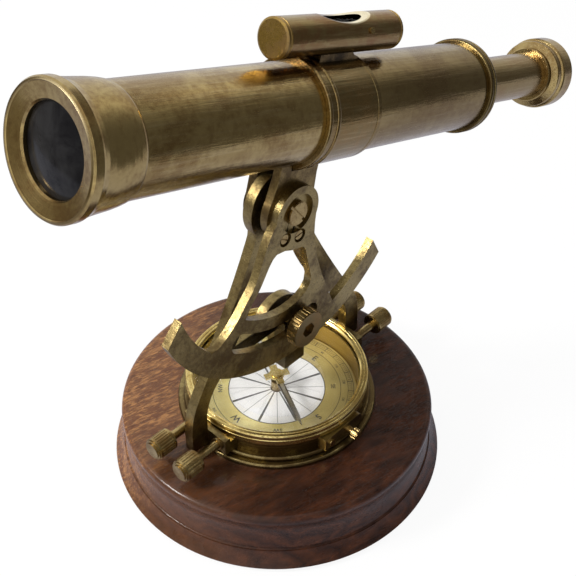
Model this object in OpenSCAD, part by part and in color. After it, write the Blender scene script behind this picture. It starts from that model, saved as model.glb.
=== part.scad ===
// Telescopic alidade: a sighting telescope with a spirit level on a tilting fork,
// held by an A-shaped frame over a compass on a turned wooden base.
// Units are millimetres, +Z is up, the origin is the middle of the resting face.
// The telescope lies along X with its object end towards -X, and the clamp faces -Y.

/* [View] */
// Which piece to show

/* [Wooden base] */
// Radius of the widest ring of the base
base_r = 75; // [72:1:95]
// Height of the top face above the table
base_h = 29; // [24:0.5:40]
// Radius of the upright wall of the base
wall_r = 69.3; // [69:0.1:70.5]
// Height of the lower bead
bead_h = 8.4; // [5:0.1:12]
// Rounding of the upper edge
shoulder_r = 2.4; // [1:0.1:5]
// Depth of the hollow turned into the wall
cove_depth = 1.3; // [0.4:0.1:2]
// Thickness of the felt under the base
felt_t = 1.8; // [1:0.1:3]
// Radius of the felt
felt_r = 66; // [55:0.5:68]
// How far the felt stands below the wood
felt_proud = 0.6; // [0.2:0.1:0.9]
// Radius of the circle of fixing screws
fix_circle_r = 24; // [20:0.5:32]
// Radius of the fixing screws
fix_r = 1.5; // [1:0.1:2.5]
// Radius of the fixing screw heads
fix_head_r = 3.2; // [2.9:0.1:4.5]
// Depth of the sunk holes for the screw heads
fix_sink = 9; // [5:0.5:14]

/* [Compass] */
// Width of the foot flange outside the bowl wall
flange_w = 5.3; // [4.2:0.1:8]
// Thickness of the foot flange
flange_t = 2.2; // [1.5:0.1:4]
// How far the spigot stands inside the bowl wall
spigot_inset = 1.8; // [1.5:0.1:4]
// Depth of the spigot in the wood
spigot_h = 2; // [1.8:0.1:4]
// Width of the bead at the foot of the wall
foot_bead_w = 2.8; // [2:0.1:3.2]
// Outer radius of the bowl wall
bowl_r = 38.7; // [36:0.1:41]
// Thickness of the bowl wall
bowl_wall = 2.7; // [2.2:0.1:2.9]
// Height of the glass above the card's seat
glass_lift = 10.8; // [10.6:0.1:14]
// Thickness of the glass
glass_t = 1.4; // [1:0.1:2.5]
// Width of the rim of the wall around the glass
glass_rim = 1.3; // [1:0.1:1.6]
// Thickness of the bezel's skirt
bezel_skirt = 1.4; // [1.1:0.1:2.2]
// Width of the bezel's lip over the wall and the glass
bezel_lip = 2.1; // [1.8:0.1:3.4]
// Height of the bezel above the bowl wall
bezel_t = 1.4; // [1:0.1:2.5]
// Depth of the bezel skirt
skirt_h = 3.6; // [2:0.1:4]
// Space between the card and the bowl wall
card_space = 0.5; // [0.3:0.1:2]
// Thickness of the card
card_t = 0.8; // [0.4:0.1:1.2]
// Height of the needle above the card's seat
needle_lift = 8; // [7.6:0.1:8.2]
// Length of one half of the needle
needle_len = 30.5; // [24:0.5:34]
// Width of the needle at its middle
needle_w = 4; // [3.8:0.1:6]
// Thickness of the needle
needle_t = 0.8; // [0.4:0.1:1]
// Direction of the needle seen from above, in degrees
needle_dir = 244.3; // [0:0.1:360]
// Radius of the needle pin
pin_r = 1; // [0.8:0.1:1.1]

/* [Needle lock] */
// Distance of the lifter's pivot from the middle of the compass
lifter_pivot_y = 14; // [12:0.5:20]
// Width of the lifter
lifter_w = 4; // [3:0.1:5]
// Thickness of the lifter
lifter_t = 1.2; // [0.8:0.1:1.4]
// Distance of the lock screw from the middle, along X
lock_x = 0.5; // [-2:0.5:2]
// Height of the lock screw above the card's seat
lock_lift = 5.7; // [5.3:0.1:5.8]
// Radius of the lock screw head
lock_head_r = 2.4; // [2:0.1:2.6]
// Radius of the lock screw thread
lock_r = 1.6; // [1.2:0.1:1.8]
// Thickness of the lock plate outside the bowl wall
lock_plate_t = 2.3; // [1.9:0.1:4]
// Left end of the lock plate
lock_plate_x0 = -13; // [-15:0.5:-12]
// Right end of the lock plate
lock_plate_x1 = 10; // [6:0.5:14]

/* [Frame] */
// Height of the tilting pivot above the card's seat
pivot_lift = 103.8; // [100:0.1:115]
// Thickness of the frame casting
frame_t = 4.6; // [3:0.1:6]
// Radius of the round head of the frame
head_r = 15.2; // [14:0.1:15.3]
// Radius of the boss behind the near cheek
boss_r = 7; // [5:0.1:10]
// Width of each leg over its foot, seen from the clamp side
leg_w = 8.6; // [7.5:0.1:10]
// Depth of the cross bar
bar_h = 6.8; // [5:0.1:8]
// Distance from the clamp down to the lower edge of the cross bar
bar_drop = 8.9; // [8.2:0.1:10]
// Radius of the round boss on the cross bar
bar_boss_r = 12; // [10:0.1:13]
// Distance from the clamp down to the middle of that boss
bar_boss_drop = 4.7; // [3:0.1:6]
// Distance from the clamp down to the lower end of the clamp block
block_drop = 27.7; // [14:0.1:29]
// Width of the clamp block
block_w = 11.8; // [8:0.1:16]
// Distance of the clamp block's middle from the middle of the frame
block_x = 2.7; // [0:0.1:3]
// Distance between the bezel and the foot plates
foot_gap = 0.3; // [0.3:0.1:1]
// Thickness of the foot plates
foot_t = 3; // [2:0.1:5]
// Length of a foot plate along the bowl
foot_w = 25; // [23:0.5:30]

/* [Foot screws] */
// Distance of each foot screw from the plane of the frame
foot_screw_y = 8.25; // [7.9:0.05:9]
// Height of the foot screws above the card's seat
foot_screw_lift = 6.8; // [5.4:0.1:7.4]
// Radius of a foot screw head
foot_head_r = 4.9; // [3.5:0.1:5.2]
// Length of a foot screw head
foot_head_l = 10.2; // [7:0.1:12]
// Distance from the leg to the outer end of each head
foot_head_out = 13.4; // [10:0.1:16]
// Radius of the foot screw shanks
foot_shank_r = 2; // [1.5:0.1:2.4]

/* [Sector] */
// Thickness of the sector plate
sector_t = 3.6; // [2.5:0.1:5]
// Radius of the sector's hub
hub_r = 11.4; // [10:0.1:14]
// Width of the sector's rim
rim_w = 9.4; // [7:0.1:14]
// Inner radius of the sector's rim
rim_in = 61.6; // [60.5:0.1:64]
// Radius of the middle of the clamp slot
slot_r = 55.5; // [55:0.1:56.5]
// Width of the clamp slot
slot_w = 8.8; // [7.4:0.1:9.6]
// Width of the bar above the slot
web_w = 5.9; // [4:0.1:8]
// Radius of the solid web under the hub
apex_r = 16; // [15.2:0.1:17.5]
// Angle of the left arm's outer edge from the middle line
left_out = 30.4; // [29.4:0.1:31.4]
// Angle of the left arm's inner edge from the middle line
left_in = 24.6; // [23.6:0.1:25.6]
// Angle of the right arm's inner edge from the middle line
right_in = 28.6; // [27.6:0.1:29.6]
// Angle of the right arm's outer edge from the middle line
right_out = 36.6; // [35.6:0.1:38]
// Angle from the middle line to the left end of the slot's middle
slot_left = 19.4; // [19.4:0.1:20.4]
// Angle from the middle line to the right end of the slot's middle
slot_right = 24; // [24:0.1:25.6]
// Angle of the left tip from the middle line
tip_left = 54.5; // [45:0.5:65]
// Angle of the right tip from the middle line
tip_right = 62.6; // [45:0.5:68]
// Lean of the middle line against the telescope
sector_lean = 1.5; // [1:0.1:2]
// Radius of the two small screws' heads
tie_head_r = 2; // [1.6:0.1:2.3]
// Radius of the sunk holes around those heads
tie_recess_r = 3; // [2.6:0.1:3.2]
// Distance of the two small screws from the pivot
tie_r = 11; // [9.6:0.1:11.4]
// Angle of each small screw from the middle line
tie_ang = 22; // [18:0.5:24]

/* [Clamp] */
// Radius of the knurled clamp knob
knob_r = 8.4; // [7.4:0.1:10]
// Thickness of the knurled part of the knob
knob_t = 4.6; // [3:0.1:6]
// Length of the neck behind the knob
knob_neck = 1.2; // [0.6:0.1:3]
// Radius of the neck behind the knob
neck_r = 5.4; // [4.6:0.1:6.2]
// Radius of the clamp stud
stud_r = 2.5; // [2:0.1:2.5]
// Thickness of the clamp washer
washer_t = 0.8; // [0.5:0.1:1.2]
// Radius of the clamp washer
washer_r = 6.4; // [5.8:0.1:7]

/* [Fork] */
// Radius of the pivot screw
pivot_r = 3; // [2.5:0.1:4]
// Radius of the pivot screw head
pivot_head_r = 5; // [4.4:0.1:6]
// Radius of the sunk hole around the pivot screw head
pivot_recess_r = 8.2; // [7:0.1:8.6]
// Space between the frame and the near cheek
fork_gap = 2.3; // [1.5:0.1:3.5]
// Thickness of the near cheek of the fork
near_t = 3.6; // [2.5:0.1:4.5]
// Thickness of the far cheek of the fork
far_t = 4; // [2.5:0.1:6]
// Radius of the round lower end of the far cheek
fork_r = 11.2; // [10.8:0.1:13]
// Radius of the round lower end of the near cheek
near_r = 13; // [12.4:0.1:13.6]
// Radius of the lobe behind the two small screws
lobe_r = 7.2; // [6.8:0.1:7.6]
// Front edge of the fork's neck
neck_x0 = -11; // [-13:0.1:-9]
// Rear edge of the fork's neck
neck_x1 = 10.4; // [9:0.1:11]

/* [Telescope] */
// Tilt of the telescope at rest, object end up
tube_tilt = 17.3; // [16:0.1:18]
// Distance from the head of the frame up to the axis of the telescope
axis_clear = 20.7; // [20.7:0.1:24]
// Outer radius of the main tube
tube_r = 18.7; // [17.8:0.1:18.9]
// Wall thickness of the main tube
tube_wall = 1.2; // [0.8:0.1:2]
// Position of the object end along the axis, from the pivot
front_s = -109.1; // [-125:0.1:-95]
// Length of the object cell
cell_l = 22.4; // [18:0.1:24]
// Radius of the object end rim
rim_r = 21.7; // [21.4:0.1:24]
// Radius of the clear opening in the object end
opening_r = 14.6; // [12:0.1:15.6]
// Thickness of the object lens
lens_t = 5; // [4:0.1:5.4]
// Position of the rear end of the guide ring
rear_s = 109.1; // [100:0.1:120]
// Length of the guide ring
rear_ring_l = 4.6; // [4:0.1:7]
// Outer radius of the guide ring
rear_ring_r = 20.4; // [19.8:0.1:24]
// Length of the bush inside the main tube
bush_l = 12.7; // [6:0.1:14]
// Outer radius of the draw tube
draw_r = 10.5; // [10.2:0.1:11]
// Wall thickness of the draw tube
draw_wall = 0.9; // [0.6:0.1:1.2]
// Length of the draw tube
draw_l = 95; // [86:0.5:106]
// How far the draw tube's stop stands from the bush at rest
draw_rest = 3; // [2.6:0.1:6]
// Outer radius of the eyepiece cup
cup_r = 16.6; // [16:0.1:19]
// Radius of the opening in the eyepiece cup
eye_hole_r = 5; // [3:0.1:6]

/* [Collar] */
// Outer radius of the collar sleeve
collar_r = 20.2; // [19.8:0.1:20.2]
// Front end of the collar
collar_s0 = -5; // [-8:0.1:-4.6]
// Rear end of the collar
collar_s1 = 25.6; // [24:0.1:32]
// Length of the raised ring at the front of the collar
ring_l = 6.2; // [5:0.1:6.4]
// Outer radius of the raised ring
ring_r = 20.8; // [20.6:0.1:20.8]

/* [Level] */
// Space between the collar sleeve and the level tube
level_gap = 0.9; // [0.9:0.1:6]
// Outer radius of the level tube
level_r = 7.3; // [6.5:0.1:8]
// Wall thickness of the level tube
level_wall = 0.9; // [0.6:0.1:1]
// Front end of the level
level_s0 = -21; // [-30:0.1:-10]
// Rear end of the level
level_s1 = 45.3; // [38:0.1:55]
// Thickness of the level's end caps
cap_t = 2.6; // [2:0.1:4]
// Middle of the level's window
window_s = 14.5; // [10:0.1:18]
// Length of the level's window
window_l = 27; // [16:0.5:32]
// Depth of the level's window
window_d = 2; // [1.4:0.1:2]
// Radius of the glass vial
vial_r = 5.2; // [4:0.1:5.2]
// Front end of the level's post
post_s0 = 1.6; // [1.6:0.1:6]
// Rear end of the level's post
post_s1 = 19.5; // [14:0.1:20]
// Width of the level's post
post_w = 9; // [6:0.1:10]

/* [Fits] */
// Radial clearance of turning, sliding and seated round fits
fit = 0.05; // [0.02:0.01:0.1]
// Clearance between pieces that only pass each other
gap = 0.3; // [0.3:0.05:0.35]

/* [Hidden] */
$fn = 64;
brass = [0.52, 0.42, 0.2];
dark_brass = [0.36, 0.3, 0.16];
bright_brass = [0.78, 0.64, 0.3];
wood_colour = [0.36, 0.17, 0.1];
glass_colour = [0.75, 0.85, 0.9, 0.35];

// base
wood_z0 = felt_proud;
cove_z = (bead_h + base_h - shoulder_r) / 2 + 0.4;
cove_half = (base_h - shoulder_r - bead_h) / 2 - 1.6;
cove_arc_r = (cove_half * cove_half + cove_depth * cove_depth) / (2 * cove_depth);
quirk_r = 0.9;
spigot_z = base_h - spigot_h;
spigot_r = bowl_r - spigot_inset;
fix_head_h = 2.2;
slot_t = 0.8;

// compass, measured up from the seat of the card
bowl_bore_r = bowl_r - bowl_wall;
glass_r = bowl_r - glass_rim;
bezel_r = bowl_r + bezel_skirt;
bezel_bore_r = bowl_r - bezel_lip;
flange_r = bowl_r + flange_w;
foot_bead_r = bowl_r + foot_bead_w;
card_r = bowl_bore_r - card_space;
floor_z = base_h + flange_t;
fix_top = floor_z - 1;
foot_bead_h = 2;
foot_bead_z = floor_z + foot_bead_h;
glass_z = floor_z + glass_lift;
glass_play = 0.2;
wall_top = glass_z + glass_t + glass_play;
bezel_top = wall_top + bezel_t;
bezel_round = 0.7;
skirt_z = wall_top - skirt_h;
channel_d = 3.2;
channel_z = floor_z - channel_d;
needle_z = floor_z + needle_lift;
hub_hole_r = 1.6;
cap_stem_h = 1.2;
cap_boss_h = 0.7;
pin_cone_h = 3;
pin_tip_z = needle_z + 0.45;
sleeve_r = 2.5;
sleeve_bore_r = 1.9;
card_hole_r = sleeve_r + 0.4;

// needle lock
lock_face = bowl_r + lock_plate_t;
lock_z = floor_z + lock_lift;
lifter_z = floor_z - 1.6;
lifter_pin_r = 0.6;
lifter_pin_l = lifter_w + 5;
lifter_ring_r = 4;
lifter_end_y = bowl_bore_r - 1;
lifter_end_t = 1.4;
lifter_top_z = lock_z - lock_r - gap;
lifter_travel = 0.65;
sleeve_top_z = needle_z - cap_stem_h - gap - lifter_travel;
lock_cone = 1.4;
lock_tip_y = lifter_end_y - lifter_end_t + 0.1;
plate_screw_r = 1;
plate_screw_x = lock_plate_x0 + 3.4;
plate_screw_z = lock_z - 0.4;
plate_corner_r = 3;
lock_plate_z1 = skirt_z - 0.4;

// frame and sector
pivot_z = floor_z + pivot_lift;
foot_screw_z = floor_z + foot_screw_lift;
frame_y = frame_t / 2;
near_back = frame_y + fork_gap;
sector_back = near_back + near_t;
sector_front = sector_back + sector_t;
far_front = frame_y + far_t;
slot_out = slot_r + slot_w / 2;
slot_in = slot_r - slot_w / 2;
web_in = slot_in - web_w;
rim_out = rim_in + rim_w;
recess_d = 1.8;
tip_bevel_left = 5.2;
tip_bevel_right = 3.1;
clamp_z = pivot_z - slot_r;
bar_z = clamp_z - bar_drop;
block_z = clamp_z - block_drop;
knob_back = sector_front + washer_t + knob_neck;
knob_front = knob_back + knob_t;
foot_x = bezel_r + foot_gap;
foot_inner_x = foot_x + foot_t;
leg_x = foot_inner_x + leg_w;
foot_head_x = leg_x + foot_head_out;
foot_z0 = foot_bead_z + 0.4;
foot_z1 = skirt_z + 1.6;
lug_z1 = skirt_z - 0.4;
shank_tip = bowl_r + 0.4;
knee_z = floor_z + 31.8;

// telescope
axis_lift = head_r + axis_clear;
tube_bore_r = tube_r - tube_wall;
socket_l = 6.6;
tube_s0 = front_s + cell_l - socket_l;
ring_lip = 2.4;
tube_s1 = rear_s - ring_lip;
pocket_r = tube_bore_r - 0.3;
seat_depth = 4;
lens_curve_r = 60;
lens_sag = lens_curve_r - sqrt(lens_curve_r * lens_curve_r - opening_r * opening_r);
lens_s = front_s + seat_depth - lens_sag + 0.02;
draw_bore_r = draw_r - draw_wall;
cup_socket = 13;
bush_inset = 8.4;
bush_s1 = rear_s - bush_inset;
stop_l = 6.5;
draw_s0 = bush_s1 - bush_l - draw_rest - stop_l + 1;
draw_s1 = draw_s0 + draw_l;
eye_s = draw_s1 + cup_socket;
eye_pocket_r = draw_bore_r - 1;
eye_curve_r = 18;
eye_ring_bore = 6.6;
eye_ring_l = 1.8;
eye_ring_s = eye_s - 8.4 + eye_curve_r - sqrt(eye_curve_r * eye_curve_r - eye_ring_bore * eye_ring_bore)
  - eye_ring_l - 0.04;
field_s = eye_s - 35;
field_seat_r = 7;
field_lens_r = draw_bore_r - 1.2;
field_curve_r = 24;

// level
level_bore_r = level_r - level_wall;
level_lift = collar_r + level_gap + level_r;
level_w = axis_lift + level_lift;
window_arc_r = (window_l * window_l / 4 + window_d * window_d) / (2 * window_d);
vial_s0 = level_s0 + cap_t;
vial_s1 = level_s1 - cap_t;
vial_wall = 1;
vial_end = 2;
plug_l = 6;
flare = 4;

// the tilted group: x runs along the telescope, z across it, from the pivot
module tilted() {
  translate([0, 0, pivot_z])
    rotate([0, tube_tilt, 0])
      children();
}

// z runs along the telescope, measured from the point over the pivot
module on_tube() {
  tilted()
    translate([0, 0, axis_lift])
      rotate([0, 90, 0])
        children();
}

// z runs along the level
module on_level() {
  tilted()
    translate([0, 0, level_w])
      rotate([0, 90, 0])
        children();
}

// a round bar along Y from y0 to y1
module bar_y(r, y0, y1) {
  translate([0, y1, 0])
    rotate([90, 0, 0])
      cylinder(r = r, h = y1 - y0);
}

// a round bar along X from x0 to x1
module bar_x(r, x0, x1) {
  translate([x0, 0, 0])
    rotate([0, 90, 0])
      cylinder(r = r, h = x1 - x0);
}

// a plate whose outline is drawn in X and Z, from y0 to y1
module plate_y(y0, y1) {
  translate([0, y1, 0])
    rotate([90, 0, 0])
      linear_extrude(height = y1 - y0)
        children();
}

// children repeated on the circle of fixing screws
module at_fixings() {
  for (a = [90, 210, 330])
    rotate(a)
      translate([fix_circle_r, 0, 0])
        children();
}

// a point of the XZ plane by radius and angle, measured from straight down
function polar(r, a) = [r * sin(a), -r * cos(a)];

// part of a flat ring between two angles
module ring_part(ro, ri, a0, a1) {
  intersection() {
    difference() {
      circle(r = ro, $fn = 128);
      circle(r = ri, $fn = 128);
    }
    polygon(concat([[0, 0]], [for (i = [0 : 8]) polar(2 * ro, a0 + (a1 - a0) * i / 8)]));
  }
}

// a point of a smooth curve through four control points
function curve_at(p, t) =
  pow(1 - t, 3) * p[0] + 3 * t * pow(1 - t, 2) * p[1]
  + 3 * t * t * (1 - t) * p[2] + pow(t, 3) * p[3];

function curve(p, n) = [for (i = [0 : n]) curve_at(p, i / n)];

module wooden_base() {
  color(wood_colour)
    difference() {
      rotate_extrude($fn = 128)
        difference() {
          union() {
            translate([0, wood_z0])
              square([wall_r, base_h - shoulder_r - wood_z0]);
            translate([0, wood_z0])
              square([wall_r - shoulder_r, base_h - wood_z0]);
            translate([wall_r - shoulder_r, base_h - shoulder_r])
              circle(r = shoulder_r);
            translate([0, wood_z0])
              square([base_r - bead_h / 2, bead_h]);
            translate([base_r - bead_h / 2, wood_z0 + bead_h / 2])
              circle(r = bead_h / 2);
          }
          // hollow sweep of the wall and the quirk above the bead
          translate([wall_r - cove_depth + cove_arc_r, cove_z])
            circle(r = cove_arc_r, $fn = 128);
          translate([wall_r + 0.4, wood_z0 + bead_h + quirk_r - 0.3])
            circle(r = quirk_r);
          // seat of the felt
          translate([0, wood_z0 - 1])
            square([felt_r + gap, felt_t - wood_z0 + 1]);
          // seat of the compass
          translate([0, spigot_z])
            square([spigot_r + gap, spigot_h + 1]);
        }
      at_fixings() {
        cylinder(r = fix_r + gap, h = base_h);
        cylinder(r = fix_head_r + gap, h = fix_sink);
      }
    }
}

module felt_pad() {
  color([0.16, 0.26, 0.18])
    cylinder(r = felt_r, h = felt_t, $fn = 128);
}

module base_screws() {
  head_z = fix_sink - fix_head_h;
  color(brass)
    at_fixings()
      difference() {
        union() {
          translate([0, 0, head_z])
            cylinder(r = fix_head_r, h = fix_head_h);
          translate([0, 0, head_z])
            cylinder(r = fix_r, h = fix_top - head_z);
        }
        translate([-fix_head_r - 1, -slot_t / 2, head_z - 1])
          cube([2 * fix_head_r + 2, slot_t, 2]);
      }
}

module compass_bowl() {
  color(dark_brass)
    difference() {
      rotate_extrude($fn = 128)
        union() {
          translate([0, spigot_z])
            square([spigot_r, floor_z - spigot_z]);
          translate([0, base_h])
            square([flange_r - 1, flange_t]);
          translate([0, base_h])
            square([flange_r, flange_t - 1]);
          translate([flange_r - 1, floor_z - 1])
            circle(r = 1);
          translate([bowl_bore_r, floor_z - 0.5])
            square([foot_bead_r - 1 - bowl_bore_r, foot_bead_h + 0.5]);
          translate([foot_bead_r - 1, floor_z + foot_bead_h / 2])
            circle(r = foot_bead_h / 2);
          translate([bowl_bore_r, floor_z])
            square([bowl_r - bowl_bore_r, glass_z - floor_z]);
          translate([glass_r + fit, glass_z - 0.5])
            square([bowl_r - glass_r - fit, wall_top - glass_z + 0.5]);
        }
      // channel of the lifter and the notches for its pin
      translate([lock_x - lifter_w / 2 - gap, -bowl_bore_r + 0.4, channel_z])
        cube([lifter_w + 2 * gap, bowl_bore_r, channel_d + 1]);
      translate([0, 0, channel_z])
        cylinder(r = lifter_ring_r + 2, h = channel_d + 1);
      translate([lock_x, -lifter_pivot_y, lifter_z])
        bar_x(lifter_pin_r + fit, -lifter_pin_l / 2 - gap, lifter_pin_l / 2 + gap);
      translate([lock_x - lifter_pin_l / 2 - gap, -lifter_pivot_y - lifter_pin_r - fit, lifter_z])
        cube([lifter_pin_l + 2 * gap, 2 * lifter_pin_r + 2 * fit, channel_d]);
      // threads of the lock screw and of the plate's screw
      translate([lock_x, 0, lock_z])
        bar_y(lock_r + fit, -bowl_r - 5, -bowl_bore_r + 5);
      translate([plate_screw_x, 0, plate_screw_z])
        bar_y(plate_screw_r + fit, -bowl_r - 5, -bowl_bore_r + 1.4);
      at_fixings()
        translate([0, 0, spigot_z - 1])
          cylinder(r = fix_r + fit, h = fix_top - spigot_z + 1.2);
    }
}

module bezel_ring() {
  color(bright_brass)
    rotate_extrude($fn = 128)
      difference() {
        union() {
          translate([bezel_bore_r, wall_top])
            square([bezel_r - bezel_round - bezel_bore_r, bezel_t]);
          translate([bowl_r + fit, skirt_z])
            square([bezel_r - bowl_r - fit, bezel_top - bezel_round - skirt_z]);
          translate([bezel_r - bezel_round, bezel_top - bezel_round])
            circle(r = bezel_round);
        }
        // turned grooves
        translate([bowl_r - 0.4, bezel_top + 0.1])
          circle(r = 0.35);
        translate([bezel_r + 0.1, wall_top - 1])
          circle(r = 0.35);
        // bevel of the inner lip
        translate([bezel_bore_r, bezel_top])
          rotate(45)
            square(0.9, center = true);
      }
}

module cover_glass() {
  color(glass_colour)
    translate([0, 0, glass_z])
      cylinder(r = glass_r, h = glass_t, $fn = 128);
}

module compass_card() {
  notch_y = lock_tip_y - 2 * gap;
  color([0.93, 0.91, 0.8])
    translate([0, 0, floor_z])
      difference() {
        cylinder(r = card_r, h = card_t, $fn = 128);
        translate([0, 0, -1])
          cylinder(r = card_hole_r, h = card_t + 2);
        // notch for the upright end of the lifter
        translate([lock_x - lifter_w / 2 - gap, -card_r - 1, -1])
          cube([lifter_w + 2 * gap, card_r + 1 - notch_y, card_t + 2]);
      }
}

module needle_pin() {
  color(bright_brass)
    translate([0, 0, channel_z]) {
      cylinder(r = hub_hole_r, h = 0.7);
      cylinder(r = pin_r, h = needle_z - pin_cone_h - channel_z);
      translate([0, 0, needle_z - pin_cone_h - channel_z])
        cylinder(r1 = pin_r, r2 = 0.12, h = pin_tip_z - needle_z + pin_cone_h);
    }
}

module compass_needle() {
  color([0.75, 0.72, 0.62])
    translate([0, 0, needle_z])
      rotate(needle_dir)
        difference() {
          linear_extrude(height = needle_t)
            polygon([
              [-needle_len, 0], [-needle_len + 3, -0.9], [-4, -needle_w / 2],
              [4, -needle_w / 2], [needle_len - 4, -1.2], [needle_len, 0],
              [needle_len - 4, 1.2], [4, needle_w / 2], [-4, needle_w / 2],
              [-needle_len + 3, 0.9]
            ]);
          translate([0, 0, -1])
            cylinder(r = hub_hole_r, h = 3);
        }
}

// cross shaped boss with a blind cup over the point of the pin
module needle_cap() {
  color(bright_brass)
    translate([0, 0, needle_z])
      rotate(needle_dir)
        difference() {
          union() {
            translate([-5.6, -1.6, needle_t])
              cube([11.2, 3.2, cap_boss_h]);
            translate([-1.6, -5.6, needle_t])
              cube([3.2, 11.2, cap_boss_h]);
            translate([0, 0, needle_t])
              cylinder(r = 3.4, h = cap_boss_h);
            translate([0, 0, -cap_stem_h])
              cylinder(r = hub_hole_r - fit, h = cap_stem_h + needle_t + cap_boss_h);
            translate([0, 0, needle_t])
              cylinder(r = 2.4, h = 1.3);
          }
          translate([0, 0, -cap_stem_h - 0.1])
            cylinder(r1 = 1.2, r2 = 0.2, h = cap_stem_h + pin_tip_z - needle_z + 0.16);
        }
}

module needle_lifter() {
  under = lifter_z - lifter_t / 2;
  color(brass)
    difference() {
      union() {
        translate([lock_x - lifter_w / 2, -lifter_end_y, under])
          cube([lifter_w, lifter_end_y - sleeve_r, lifter_t]);
        translate([lock_x - lifter_w / 2, -lifter_end_y, under])
          cube([lifter_w, lifter_end_t, lifter_top_z - under]);
        translate([0, 0, under])
          cylinder(r = lifter_ring_r, h = lifter_t);
        translate([0, 0, under])
          cylinder(r = sleeve_r, h = sleeve_top_z - under);
        translate([lock_x, -lifter_pivot_y, lifter_z])
          bar_x(lifter_pin_r + 0.7, -lifter_w / 2, lifter_w / 2);
      }
      translate([0, 0, channel_z])
        cylinder(r = sleeve_bore_r, h = needle_z - channel_z);
      translate([lock_x, -lifter_pivot_y, lifter_z])
        bar_x(lifter_pin_r + fit, -lifter_w, lifter_w);
    }
}

module lifter_pin() {
  color(brass)
    translate([lock_x, -lifter_pivot_y, lifter_z])
      bar_x(lifter_pin_r, -lifter_pin_l / 2, lifter_pin_l / 2);
}

module lock_plate() {
  length = lock_plate_x1 - lock_plate_x0;
  height = lock_plate_z1 - foot_bead_z;
  color(dark_brass)
    difference() {
      plate_y(-lock_face, -bowl_r + 4)
        union() {
          translate([lock_plate_x0, foot_bead_z])
            square([length, height - plate_corner_r]);
          translate([lock_plate_x0, foot_bead_z])
            square([length - plate_corner_r, height]);
          translate([lock_plate_x1 - plate_corner_r, lock_plate_z1 - plate_corner_r])
            circle(r = plate_corner_r);
        }
      cylinder(r = bowl_r + fit, h = bezel_top, $fn = 128);
      translate([lock_x, 0, lock_z])
        bar_y(lock_r + fit, -lock_face - 1, 0);
      translate([plate_screw_x, 0, plate_screw_z])
        bar_y(plate_screw_r + fit, -lock_face - 1, 0);
    }
}

module lock_plate_screw() {
  color(brass)
    translate([plate_screw_x, 0, plate_screw_z])
      difference() {
        union() {
          bar_y(plate_screw_r, -lock_face - 0.5, -bowl_bore_r + 1.2);
          bar_y(plate_screw_r + 0.7, -lock_face - 1, -lock_face);
        }
        translate([-2, -lock_face - 1.5, -0.25])
          cube([4, 1, 0.5]);
      }
}

module needle_lock_screw() {
  head_y = lock_face + 3.4;
  color(bright_brass)
    translate([lock_x, 0, lock_z])
      difference() {
        union() {
          bar_y(lock_r, -head_y - 0.2, -lock_tip_y - lock_cone);
          translate([0, -lock_tip_y, 0])
            rotate([90, 0, 0])
              cylinder(r1 = 0.3, r2 = lock_r, h = lock_cone);
          bar_y(lock_head_r - 0.4, -head_y - 3, -head_y - 2.6);
          bar_y(lock_head_r, -head_y - 2.6, -head_y);
        }
        for (a = [0 : 30 : 359])
          rotate([0, a, 0])
            translate([lock_head_r + 0.1, 0, 0])
              bar_y(0.3, -head_y - 3.1, -head_y + 0.1, $fn = 12);
      }
}

module lug() {
  color(dark_brass)
    difference() {
      translate([bowl_r - 3, -foot_w / 2, foot_bead_z])
        cube([foot_x - bowl_r + 3, foot_w, lug_z1 - foot_bead_z]);
      cylinder(r = bowl_r + fit, h = bezel_top, $fn = 128);
      for (y = [-foot_screw_y, foot_screw_y])
        translate([0, y, foot_screw_z])
          bar_x(foot_shank_r + fit, bowl_r - 4, foot_x + 1);
    }
}

module lug_left() {
  mirror([1, 0, 0])
    lug();
}

module lug_right() {
  lug();
}

module foot_screw(row) {
  head_x0 = foot_head_x - foot_head_l;
  color(brass)
    translate([0, row * foot_screw_y, foot_screw_z])
      difference() {
        union() {
          bar_x(foot_shank_r, shank_tip, foot_head_x - 1);
          bar_x(foot_shank_r + 0.9, foot_inner_x, foot_inner_x + 1);
          bar_x(foot_head_r - 0.5, head_x0, foot_head_x - 0.6);
          bar_x(foot_head_r, head_x0 + 0.5, foot_head_x - 1.4);
          bar_x(foot_head_r - 1.3, head_x0 + 1, foot_head_x);
        }
        for (a = [0 : 15 : 359])
          rotate([a, 0, 0])
            translate([0, 0, foot_head_r + 0.15])
              bar_x(0.42, head_x0 + 1.4, foot_head_x - 2.4, $fn = 12);
      }
}

module foot_screw_left_far() {
  mirror([1, 0, 0])
    foot_screw(1);
}

module foot_screw_left_near() {
  mirror([1, 0, 0])
    foot_screw(-1);
}

module foot_screw_right_far() {
  foot_screw(1);
}

module foot_screw_right_near() {
  foot_screw(-1);
}

// right half of the frame's outside, from the head down to the foot
leg_outside = concat(
  [[head_r - 2.3, pivot_z - 8], [head_r - 2, pivot_z - 10.4]],
  curve([
    [head_r - 0.9, pivot_z - 13], [22.2, pivot_z - 31], [35.2, knee_z + 18], [leg_x - 5.7, knee_z]
  ], 8),
  curve([
    [leg_x - 5.7, knee_z], [leg_x - 1.4, knee_z - 7], [leg_x, knee_z - 13], [leg_x, knee_z - 21]
  ], 5),
  [[leg_x, foot_z0]]
);

// right half of the frame's inside, from the foot up to the apex
leg_inside = concat(
  [[foot_inner_x, foot_z0 - 1]],
  curve([
    [foot_inner_x, knee_z - 16], [foot_inner_x, knee_z - 11],
    [foot_inner_x - 1.5, knee_z - 6], [foot_inner_x - 4.6, knee_z - 1.5]
  ], 4),
  curve([
    [foot_inner_x - 4.6, knee_z - 1.5], [25, knee_z + 13.5], [13.4, pivot_z - 39], [8.6, pivot_z - 22.6]
  ], 8)
);

function mirrored(p) = [for (i = [len(p) - 1 : -1 : 0]) [-p[i][0], p[i][1]]];

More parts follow.
